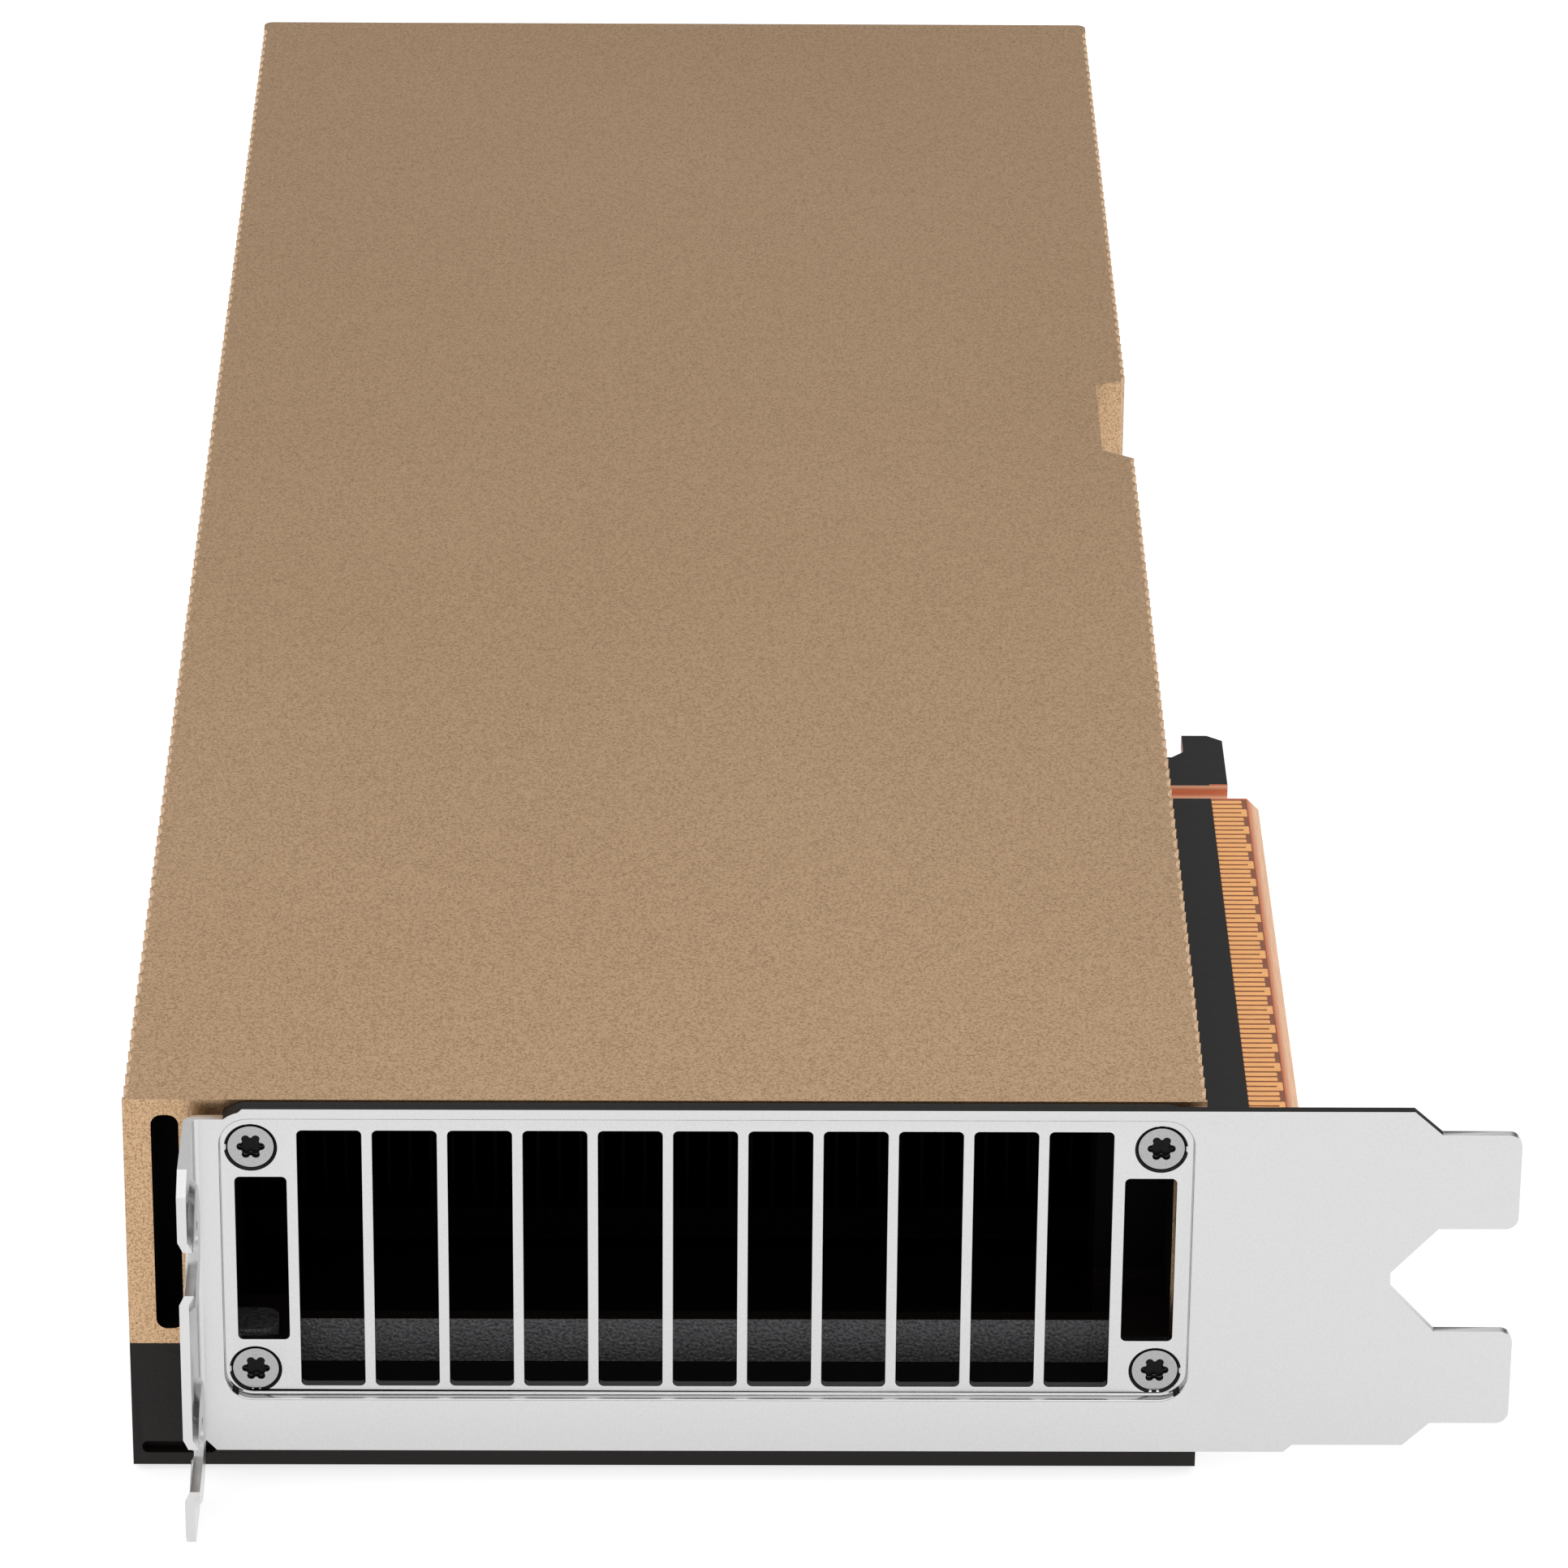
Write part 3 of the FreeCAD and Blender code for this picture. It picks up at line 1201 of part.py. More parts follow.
def make_bracket():
    blank = make_bracket_blank()
    dish_y = f"({BRACKET_FACE} - tab_length + screw_notch_depth)"
    notches = (("lower", "screw_notch_low"), ("upper", "(screw_notch_low + slot_spacing)"))
    pressed = [
        cone(f"{tag}_dish_back", f"{TAB_FACE} + sheet_thickness / 2", dish_y, z,
             "dish_radius + sheet_thickness / 2", "dish_radius - dish_depth",
             "dish_depth + sheet_thickness / 2", "x")
        for tag, z in notches
    ]
    outside = f"{TAB_FACE} - overrun"
    depth = "sheet_thickness + dish_depth + 2 * overrun"
    edge_trim = box("dish_trim", outside, f"{BRACKET_FACE} - tab_length - dish_radius",
                    "tab_base - dish_radius", depth, "dish_radius", "bracket_top + 2 * dish_radius")
    low_trim = box("dish_low_trim", outside, f"{BRACKET_FACE} - tab_length - dish_radius",
                   "tab_base - dish_radius", depth, "tab_length + dish_radius", "dish_radius")
    pressed.append(panel_block("panel_back", "sheet_thickness", BRACKET_FACE,
                               "recess_depth + sheet_thickness"))
    solid = cut("bracket_solid", fuse("bracket_pressed", [blank] + pressed),
                [edge_trim, low_trim])
    tools = [panel_block("panel_hollow", "0", f"{BRACKET_FACE} - overrun",
                         "recess_depth + overrun")]
    tools += [
        slot_tool(f"vane_{i}", f"vane_first + {i} * vane_pitch", "vane_width", "vane_base",
                  "vane_top")
        for i in range(copies(f"{PORT_PLACES['right']} - vane_first", "vane_pitch"))
    ]
    tools += [
        slot_tool(f"port_{side}", across, "port_width", "port_base", "port_top")
        for side, across in PORT_PLACES.items()
    ]
    for tag, z in notches:
        tools += screw_notch(f"{tag}_notch", z)
        tools.append(cone(f"{tag}_dish_front", outside, dish_y, z, "dish_radius + overrun",
                          "dish_radius - dish_depth", "dish_depth + overrun", "x"))
    for tag, x, z in MOUNT_SCREWS:
        tools.append(cone(f"mount_seat_{tag}", x, PANEL_FACE, z, "mount_seat_radius",
                          "mount_screw_radius", "mount_seat_radius - mount_screw_radius", "y"))
        tools.append(cylinder(f"mount_hole_{tag}", x, PANEL_FACE, z,
                              "mount_screw_radius + screw_gap / 2", "2 * sheet_thickness", "y"))
    return cut("bracket", solid, tools)


def make_bracket_screws():
    screws = []
    face = f"({PANEL_FACE} + mount_head_sink)"
    for tag, x, z in MOUNT_SCREWS:
        body = countersunk_screw(f"mount_{tag}", x, face, z, "mount_screw_radius",
                                 "mount_head_radius", "mount_screw_length", "y")
        screws.append(cut(f"bracket_screw_{tag}", body,
                          [six_lobe_drive(f"drive_{tag}", x, face, z)]))
    return group("bracket_screws", screws)


# ---------------------------------------------------------------- build and export

NODES = (
    ("top_shroud", make_top_shroud()),
    ("base_frame", make_base_frame()),
    ("backplate", make_backplate()),
    ("corner_screws", make_plate_screws("corner_screws", CORNERS, "column_screw_radius",
                                        "column_screw_length")),
    ("backplate_screws", make_plate_screws("backplate_screws", FLANGE_SCREWS,
                                           "flange_screw_radius", "flange_screw_length")),
    ("board_standoffs", make_standoffs()),
    ("backplate_insulator", make_insulator()),
    ("circuit_board", make_circuit_board()),
    ("upper_contacts", make_contacts("upper_contacts", BOARD_TOP)),
    ("lower_contacts", make_contacts("lower_contacts", "board_base - contact_thickness")),
    ("package_substrate", make_package_substrate()),
    ("processor_die", make_processor_die()),
    ("memory_stacks", make_memory_stacks()),
    ("package_ring", make_package_ring()),
    ("thermal_interface", make_interface_sheet()),
    ("vapour_chamber", make_vapour_chamber()),
    ("fin_stack", make_fin_stack()),
    ("cooler_posts", make_cooler_posts()),
    ("retention_spring", make_spring_plate()),
    ("retention_screws", make_retention_screws()),
    ("frame_thermal_pads", make_frame_pads()),
    ("inductors", make_inductors()),
    ("inductor_thermal_pads", make_inductor_pads()),
    ("power_stages", make_power_stages()),
    ("stage_thermal_pads", make_stage_pads()),
    ("bulk_capacitors", make_bulk_capacitors()),
    ("ceramic_capacitors", make_ceramic_capacitors()),
    ("power_controllers", make_controllers()),
    ("firmware_chip", make_firmware_chip()),
    ("clock_crystal", make_clock_crystal()),
    ("power_inlet", make_power_inlet()),
    ("power_pins", make_power_pins()),
    ("bracket", make_bracket()),
    ("bracket_screws", make_bracket_screws()),
)

doc.recompute()
for item in doc.Objects:
    if {"Invalid", "Error"} & set(item.State):
        raise RuntimeError(f"{item.Name} failed: {item.State}")
for node, item in NODES:
    item.Label = node
    if item.Shape.isNull() or not item.Shape.isValid():
        raise RuntimeError(f"{node} has no valid shape")

os.makedirs("parts", exist_ok=True)
for node, item in NODES:
    item.Shape.exportStep(f"parts/{node}.step")
    solids = item.Shape.Solids
    print(f"{node}: {len(solids)} solids, {sum(solid.Volume for solid in solids):.1f} mm3")
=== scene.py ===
"""Passive accelerator card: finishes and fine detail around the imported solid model.

Every piece is placed from the solid model's own boxes, in metres, with +Z up through the
card, -Y towards the slot bracket and +X towards the edge connector.
"""

import math

import bmesh
import bpy
from mathutils import Matrix, Vector


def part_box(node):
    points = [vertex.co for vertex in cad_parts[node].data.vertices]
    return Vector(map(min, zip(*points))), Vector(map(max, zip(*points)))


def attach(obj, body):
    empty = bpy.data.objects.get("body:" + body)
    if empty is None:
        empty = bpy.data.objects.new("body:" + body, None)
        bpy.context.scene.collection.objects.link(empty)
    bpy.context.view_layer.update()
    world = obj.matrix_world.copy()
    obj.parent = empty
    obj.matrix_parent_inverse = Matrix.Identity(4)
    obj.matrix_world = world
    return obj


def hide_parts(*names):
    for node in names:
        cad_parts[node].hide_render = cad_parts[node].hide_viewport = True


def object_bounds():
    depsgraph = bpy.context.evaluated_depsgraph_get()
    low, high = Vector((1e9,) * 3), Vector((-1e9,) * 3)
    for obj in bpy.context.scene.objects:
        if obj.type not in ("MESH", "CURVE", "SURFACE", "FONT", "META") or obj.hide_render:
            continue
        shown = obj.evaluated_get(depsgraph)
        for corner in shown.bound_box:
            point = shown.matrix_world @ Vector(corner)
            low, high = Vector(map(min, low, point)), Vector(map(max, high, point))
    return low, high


bl_info = {
    "name": "Passive Accelerator Card",
    "version": (1, 0, 0),
    "blender": (4, 5, 0),
    "location": "View3D > Sidebar > Card",
    "description": "Builds the finished look of a two-slot passive accelerator card",
    "category": "Object",
}

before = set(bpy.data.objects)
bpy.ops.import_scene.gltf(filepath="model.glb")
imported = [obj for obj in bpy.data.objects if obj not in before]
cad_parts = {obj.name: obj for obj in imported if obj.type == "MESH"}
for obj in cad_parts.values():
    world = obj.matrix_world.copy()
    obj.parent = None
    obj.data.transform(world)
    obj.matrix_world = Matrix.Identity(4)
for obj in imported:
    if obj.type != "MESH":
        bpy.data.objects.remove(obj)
CAD_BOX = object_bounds()
MM = 0.001
# Two places closer than this are taken as one.
SAME = 0.02 * MM

BODY_LOW, BODY_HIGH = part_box("top_shroud")
BOARD_LOW, BOARD_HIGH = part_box("circuit_board")
PADS_LOW, PADS_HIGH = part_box("upper_contacts")
BRACKET_LOW, BRACKET_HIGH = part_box("bracket")


# ---------------------------------------------------------------- colours and settings

def linear(code):
    """Turn an sRGB hex colour into linear red, green, blue."""
    values = [int(code[i:i + 2], 16) / 255 for i in (1, 3, 5)]
    return [v / 12.92 if v <= 0.04045 else ((v + 0.055) / 1.055) ** 2.4 for v in values]


def colour_property(name, code, description):
    return bpy.props.FloatVectorProperty(
        name=name, description=description, subtype="COLOR", size=3, min=0, max=1,
        default=linear(code))


def size_property(name, millimetres, description):
    return bpy.props.FloatProperty(
        name=name, description=description, unit="LENGTH", min=0, precision=5,
        default=millimetres * MM)


class CardColours(bpy.types.PropertyGroup):
    gold: colour_property("Anodised gold", "#CDAB87", "Shroud")
    gold_speck: colour_property("Gold grain", "#967859", "Darker grains of the blasted shroud")
    casting: colour_property("Black casting", "#130D0B", "Frame")
    grit: colour_property("Blasted casting", "#505052", "Frame faces behind the bracket")
    nickel: colour_property("Nickel", "#D0D0D0", "Plated bracket")
    # Painted dark: reflection on the bracket's upper edge, shadow in its countersinks and shade
    # in the screw drives.
    painted_shade_steel: colour_property("Sheared edge", "#100E0D", "Upper cut edge of the bracket")
    polished: colour_property("Polished nickel", "#ABABAB", "Screws")
    mask: colour_property("Solder mask", "#0A090A", "Circuit board")
    gold_pad: colour_property("Hard gold", "#FFC688", "Edge contacts")
    laminate: colour_property("Bare laminate", "#8A5238", "Board between the contacts")
    raw_edge: colour_property("Raw laminate edge", "#CC6A3C", "Routed board edges")
    pale_edge: colour_property("Pale laminate edge", "#F0C4A2", "Outer part of the milled bevel")
    # Flat black painted shade inside the shroud and on the ledges behind the slots.
    painted_shade_black: colour_property("Duct black", "#050505", "Inside of the shroud")


class CardSizes(bpy.types.PropertyGroup):
    shroud_edge: size_property("Shroud edge", 0.28, "Bevel on the shroud's edges")
    frame_edge: size_property("Frame edge", 0.15, "Bevel on the frame's edges")
    sheet_edge: size_property("Sheet edge", 0.16, "Rounding on the bracket's cut edges")
    screw_edge: size_property("Screw edge", 0.08, "Bevel on the screws")
    part_edge: size_property("Part edge", 0.2, "Bevel on moulded parts")
    blast_grain: size_property("Blasting grain", 0.19, "Grain of the blasted shroud")
    cast_grain: size_property("Casting grain", 0.25, "Grain of the frame's coating")
    sheet_grain: size_property("Sheet grain", 0.12, "Grain of the plated sheet")
    mask_line: size_property("Mask line", 57.1, "Edge of the solder mask, from the middle")
    pad_pitch: size_property("Contact pitch", 1.0, "Edge contacts")
    pad_width: size_property("Contact width", 0.7, "Edge contacts")
    pad_short: size_property("Short contact", 0.1, "How much shorter every second pair is")
    pad_bar: size_property("Contact bar", 0.6, "Bar that joins the ends of a long pair")
    bare_strip: size_property("Bare strip", 0.3, "Board without mask beside the hook's slot")
    pad_reach: size_property("Contact reach", 0.33, "How far the long pairs run to the bevel")
    screw_head: size_property("Screw head", 4.4, "Width of a bracket screw's head")
    bracket_standoff: size_property("Bracket standoff", 2.0, "Bracket's outer face to the body")
    sheet: size_property("Bracket sheet", 0.86, "Thickness of the bracket")
    bend: size_property("Bend radius", 0.9, "Inner radius of the bracket's bend")
    press: size_property("Press radius", 0.2, "Radius round the pressed panel")


class CardStage(bpy.types.PropertyGroup):
    camera_place: bpy.props.FloatVectorProperty(
        name="Camera place", description="Where the camera stands", subtype="TRANSLATION",
        unit="LENGTH", default=(0.002576, -0.775397, 0.390471))
    camera_turn: bpy.props.FloatVectorProperty(
        name="Camera turn", description="Which way the camera looks", subtype="EULER",
        default=[math.radians(a) for a in (63.482, -0.428, -0.487)])
    lens: bpy.props.FloatProperty(
        name="Lens", description="Focal length in millimetres", default=187.58)
    floor: colour_property("Floor", "#A8A8A8", "Plain floor")
    room_front: bpy.props.FloatProperty(
        name="Front light", description="Light from the front walls of the room", default=0.62)
    room_rear: bpy.props.FloatProperty(
        name="Rear light", description="Light from the dark rear wall", default=0.12)
    room_above: bpy.props.FloatProperty(
        name="Ceiling light", description="Light from the soft ceiling", default=1.42)
    floor_glow: bpy.props.FloatProperty(
        name="Floor glow", description="Light that the floor sheet lets through", default=0.76)


def colours():
    return bpy.context.scene.card_colours


def sizes():
    return bpy.context.scene.card_sizes


# ---------------------------------------------------------------- material helpers

def add(tree, kind, settings=None, inputs=None):
    """Add a node with its settings, and give its sockets values or links."""
    made = tree.nodes.new(kind)
    for name, value in (settings or {}).items():
        setattr(made, name, value)
    for name, value in (inputs or {}).items():
        if isinstance(value, bpy.types.NodeSocket):
            tree.links.new(value, made.inputs[name])
        else:
            made.inputs[name].default_value = value
    return made


def shade(colour, amount=1.0):
    """A colour made lighter or darker, with the alpha that a colour socket needs."""
    return (*(min(1.0, v * amount) for v in colour[:3]), 1.0)


def new_material(name, shader):
    """A material with one Principled shader whose own sockets hold the given values."""
    material = bpy.data.materials.new(name)
    material.use_nodes = True
    tree = material.node_tree
    tree.nodes.clear()
    principled = add(tree, "ShaderNodeBsdfPrincipled", inputs=shader)
    add(tree, "ShaderNodeOutputMaterial", inputs={"Surface": principled.outputs["BSDF"]})
    place = add(tree, "ShaderNodeTexCoord").outputs["Object"]
    return material, tree, principled.inputs, place


def grained(name, shader, grain, tones, depth, gloss=None, stretch=(1, 1, 1), reach=(0.35, 0.65)):
    """A surface whose colour, gloss and relief all follow one grain.

    The grain is about as wide as its size in metres, and stretch draws it out along an axis.
    """
    material, tree, surface, place = new_material(name, shader)
    drawn = add(tree, "ShaderNodeMapping", inputs={"Vector": place, "Scale": stretch})
    fine = add(tree, "ShaderNodeTexNoise",
               inputs={"Vector": drawn.outputs["Vector"], "Scale": 1 / grain,
                       "Detail": 3.0}).outputs["Fac"]
    part = add(tree, "ShaderNodeMapRange",
               inputs={"Value": fine, "From Min": reach[0], "From Max": reach[1]})
    tone = add(tree, "ShaderNodeMix", {"data_type": "RGBA"},
               {0: part.outputs["Result"], 6: tones[0], 7: tones[1]}).outputs[2]
    tree.links.new(tone, surface["Base Color"])
    if gloss:
        rough = add(tree, "ShaderNodeMapRange",
                    inputs={"Value": fine, "From Min": reach[0], "From Max": reach[1],
                            "To Min": gloss[0], "To Max": gloss[1]})
        tree.links.new(rough.outputs["Result"], surface["Roughness"])
    relief = add(tree, "ShaderNodeBump", inputs={"Height": fine, "Distance": depth})
    tree.links.new(relief.outputs["Normal"], surface["Normal"])
    return material, tree, surface, place, tone


# ---------------------------------------------------------------- materials

def blasted_anodised_aluminium():
    """Bead-blasted, gold-anodised aluminium: a satin metal with a fine sparkle of grains."""
    # Real blasting leaves marks under 0.1 mm, drawn about twice as coarse so that they show.
    grain = sizes().blast_grain
    made, tree, surface, place, tone = grained(
        "blasted_anodised_aluminium", {"Metallic": 1.0, "Roughness": 0.36}, grain,
        (shade(colours().gold_speck), shade(colours().gold)), grain * 0.06, (0.4, 0.32),
        reach=(0.3, 0.58))
    # Slow clouds, some 60 mm wide, where the anodising took a little lighter.
    cloud = add(tree, "ShaderNodeTexNoise",
                inputs={"Vector": place, "Scale": 1 / (60 * MM), "Detail": 2.0}).outputs["Fac"]
    clouded = add(tree, "ShaderNodeMix", {"data_type": "RGBA", "blend_type": "SOFT_LIGHT"},
                  {0: 0.12, 6: tone, 7: cloud}).outputs[2]
    tree.links.new(clouded, surface["Base Color"])
    return made


def coated_casting():
    """Die-cast frame under a thin black electro-coat: nearly black, satin, a little warm."""
    grain, base = sizes().cast_grain, colours().casting
    return grained("coated_casting", {"Roughness": 0.42, "Specular IOR Level": 0.24}, grain,
                   (shade(base, 0.7), shade(base, 1.35)), grain * 0.2, (0.36, 0.5))[0]


def blasted_casting():
    """Blasted faces behind the bracket: neutral dark grey with a pebbly sparkle."""
    grain, base = sizes().cast_grain * 1.3, colours().grit
    return grained("blasted_casting", {"Metallic": 0.5, "Roughness": 0.4}, grain,
                   (shade(base, 0.6), shade(base, 1.5)), grain * 0.5)[0]


def anodised_plate():
    """Black-anodised sheet aluminium: dull black with a faint rolling direction."""
    grain, base = sizes().cast_grain, colours().casting
    return grained("anodised_plate", {"Roughness": 0.45, "Specular IOR Level": 0.35}, grain,
                   (shade(base, 0.7), shade(base, 1.2)), grain * 0.03, (0.38, 0.52),
                   (1, 0.04, 1))[0]


def nickel_plated_sheet():
    """Pressed steel sheet with bright nickel plate: light grey, softly mirrored, fine grain."""
    # Plating is finer than 0.1 mm, drawn a little coarser so that it shows.
    grain, base = sizes().sheet_grain, colours().nickel
    return grained("nickel_plated_sheet", {"Metallic": 1.0, "Roughness": 0.24}, grain,
                   (shade(base, 0.93), shade(base)), grain * 0.03, (0.22, 0.26))[0]


def painted_shade_edge():
    """Dark sheet finish: painted dark reflection on the bracket's upper edge and painted shadow
    in the countersinks round its screws.
    """
    grain, base = sizes().sheet_grain, colours().painted_shade_steel
    return grained("painted_shade_edge", {"Roughness": 0.5, "Specular IOR Level": 0.2}, grain,
                   (shade(base, 0.6), shade(base, 1.6)), grain * 0.1, None, (1, 0.1, 1))[0]


def polished_nickel():
    """Nickel-plated screw heads: a near mirror with faint turning marks."""
    grain, base = sizes().sheet_grain, colours().polished
    return grained("polished_nickel", {"Metallic": 1.0, "Roughness": 0.14}, grain,
                   (shade(base, 0.88), shade(base)), grain * 0.05, (0.1, 0.18))[0]


def painted_shade_recess():
    """Floor of a screw's drive: near-black steel with a glint, painted shade so that the shallow
    recess reads as deep.
    """
    grain, base = sizes().sheet_grain, colours().painted_shade_steel
    return grained("painted_shade_recess", {"Metallic": 0.8, "Roughness": 0.2}, grain,
                   (shade(base, 0.5), shade(base, 1.2)), grain * 0.1, (0.14, 0.26))[0]


def plain_metal(name, code, grain, roughness, stretch=(1, 1, 1)):
    """A worked metal surface whose grain may be drawn out along one axis."""
    base = linear(code)
    return grained(name, {"Metallic": 1.0, "Roughness": roughness}, grain * MM,
                   (shade(base, 0.82), shade(base)), grain * MM * 0.05,
                   (roughness * 0.8, roughness * 1.25), stretch)[0]


def plain_moulding(name, code, grain, roughness):
    """A moulded or fired surface: even colour, fine texture, soft shine."""
    base = linear(code)
    return grained(name, {"Roughness": roughness}, grain * MM,
                   (shade(base, 0.85), shade(base, 1.1)), grain * MM * 0.08)[0]


def solder_mask():
    """Black solder mask over glass weave: semi-gloss, the weave just visible."""
    made, tree, surface, place = new_material(
        "solder_mask", {"Roughness": 0.4, "Specular IOR Level": 0.22})
    # Real glass bundles lie about 0.5 mm apart, drawn some six times as coarse to show.
    pitch = math.pi * MM
    # A wave texture of scale 1 repeats every pi / 10.
    scale = math.pi / 10 / pitch
    warp, weft = (add(tree, "ShaderNodeTexWave", {"bands_direction": way},
                      {"Vector": place, "Scale": scale, "Distortion": 1.0}).outputs["Fac"]
                  for way in "XY")
    weave = add(tree, "ShaderNodeMath", {"operation": "MULTIPLY"}, {0: warp, 1: weft}).outputs[0]
    base = colours().mask
    tone = add(tree, "ShaderNodeMix", {"data_type": "RGBA"},
               {0: weave, 6: shade(base, 0.85), 7: shade(base, 1.15)})
    relief = add(tree, "ShaderNodeBump", inputs={"Height": weave, "Distance": 0.01 * MM})
    tree.links.new(tone.outputs[2], surface["Base Color"])
    tree.links.new(relief.outputs["Normal"], surface["Normal"])
    return made


def bare_laminate():
    """Resin between the contacts, with no mask: brown and dull, the copper glowing through."""
    base = colours().laminate
    return grained("bare_laminate", {"Roughness": 0.55}, 0.3 * MM,
                   (shade(base, 0.8), shade(base, 1.1)), 0.01 * MM)[0]


def routed_laminate_edge():
    """Routed edge of the board: an orange resin core between two paler outer plies."""
    core, rim = colours().raw_edge, colours().pale_edge
    made, tree, surface, place, tone = grained(
        "routed_laminate_edge", {"Roughness": 0.5}, 0.2 * MM,
        (shade(core, 0.85), shade(core, 1.1)), 0.01 * MM, None, (0.05, 0.05, 1))
    middle = (BOARD_LOW.z + BOARD_HIGH.z) / 2
    height = add(tree, "ShaderNodeSeparateXYZ", inputs={"Vector": place}).outputs["Z"]
    from_core = add(tree, "ShaderNodeMath", {"operation": "SUBTRACT"}, {0: height, 1: middle})
    away = add(tree, "ShaderNodeMath", {"operation": "ABSOLUTE"}, {0: from_core.outputs[0]})
    paling = add(tree, "ShaderNodeMapRange",
                 inputs={"Value": away.outputs[0], "From Min": 0.25 * MM, "From Max": 0.7 * MM,
                         "To Max": 0.75})
    layered = add(tree, "ShaderNodeMix", {"data_type": "RGBA"},
                  {0: paling.outputs["Result"], 6: tone, 7: shade(rim)})
    tree.links.new(layered.outputs[2], surface["Base Color"])
    return made


def bevelled_laminate():
    """Milled bevel of the edge connector: orange where it starts, paling towards the tip."""
    made, tree, surface, place, tone = grained(
        "bevelled_laminate", {"Roughness": 0.5}, 0.15 * MM,
        (shade((1, 1, 1), 0.86), shade((1, 1, 1))), 0.01 * MM, None, (1, 0.05, 1))
    across = add(tree, "ShaderNodeSeparateXYZ", inputs={"Vector": place}).outputs["X"]
    tip = BOARD_HIGH.x
    paling = add(tree, "ShaderNodeMapRange",
                 inputs={"Value": across, "From Min": tip - 1.2 * MM, "From Max": tip - 0.5 * MM})
    colour = add(tree, "ShaderNodeMix", {"data_type": "RGBA"},
                 {0: paling.outputs["Result"], 6: shade(colours().raw_edge),
                  7: shade(colours().pale_edge)})
    cut = add(tree, "ShaderNodeMix", {"data_type": "RGBA", "blend_type": "MULTIPLY"},
              {0: 1.0, 6: colour.outputs[2], 7: tone})
    tree.links.new(cut.outputs[2], surface["Base Color"])
    return made


def hard_gold():
    """Hard gold over nickel on the contacts: orange gold, satin, finely drawn."""
    base = colours().gold_pad
    return grained("hard_gold", {"Metallic": 0.9, "Roughness": 0.55}, 0.15 * MM,
                   (shade(base, 0.88), shade(base)), 0.002 * MM, (0.5, 0.62), (0.1, 1, 1))[0]


def painted_shade_matte():
    """Flat black that gives back almost no light: painted shade inside the shroud and on the
    ledges behind the slots.
    """
    grain, base = sizes().cast_grain, colours().painted_shade_black
    return grained("painted_shade_matte", {"Roughness": 0.8, "Specular IOR Level": 0.1}, grain,
                   (shade(base, 0.6), shade(base, 1.4)), grain * 0.05)[0]


# ---------------------------------------------------------------- mesh helpers

def merged_copy(node):
    """A CAD node's mesh, merged and cleared of the lines that cross its flat faces."""
    mesh = bmesh.new()
    mesh.from_mesh(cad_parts[node].data)
    bmesh.ops.remove_doubles(mesh, verts=mesh.verts, dist=0.002 * MM)
    bmesh.ops.dissolve_limit(mesh, angle_limit=math.radians(0.3), verts=mesh.verts,
                             edges=mesh.edges, use_dissolve_boundaries=False)
    return mesh


def new_piece(name, mesh, materials, nodes=()):
    """Turn a bmesh into an object that rides on the card."""
    data = bpy.data.meshes.new(name)
    for face in mesh.faces:
        face.smooth = True
    mesh.to_mesh(data)
    mesh.free()
    for material in materials:
        data.materials.append(material)
    data.set_sharp_from_angle(angle=math.radians(35))
    piece = bpy.data.objects.new(name, data)
    bpy.context.scene.collection.objects.link(piece)
    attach(piece, "root")
    if nodes:
        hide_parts(*nodes)
    return piece


def bevelled(piece, width, segments=2, angle=30):
    """Break every sharp edge, so that it catches the light."""
    bevel = piece.modifiers.new("edges", "BEVEL")
    bevel.width = width
    bevel.segments = segments
    bevel.limit_method = "ANGLE"
    bevel.angle_limit = math.radians(angle)
    bevel.use_clamp_overlap = True
    bevel.harden_normals = True
    return piece


def add_box(mesh, low, high):
    """Add a box between two corners and return its vertices."""
    size = Vector(high) - Vector(low)
    middle = (Vector(high) + Vector(low)) / 2
    place = Matrix.Translation(middle) @ Matrix.Diagonal((*size, 1))
    return bmesh.ops.create_cube(mesh, size=1, matrix=place)["verts"]


def bevel_edges(mesh, edges, width, segments=1):
    """Bevel edges in the order the mesh holds them, so that every run gives the same mesh."""
    mesh.edges.index_update()
    ordered = sorted(edges, key=lambda edge: edge.index)
    bmesh.ops.bevel(mesh, geom=ordered, offset=width, offset_type="OFFSET", segments=segments,
                    profile=0.5, affect="EDGES", material=-1, clamp_overlap=True)


def is_upright(edge):
    """Whether an edge climbs from its one end to the other."""
    return abs(edge.verts[0].co.z - edge.verts[1].co.z) > 0.01 * MM


# ---------------------------------------------------------------- pieces

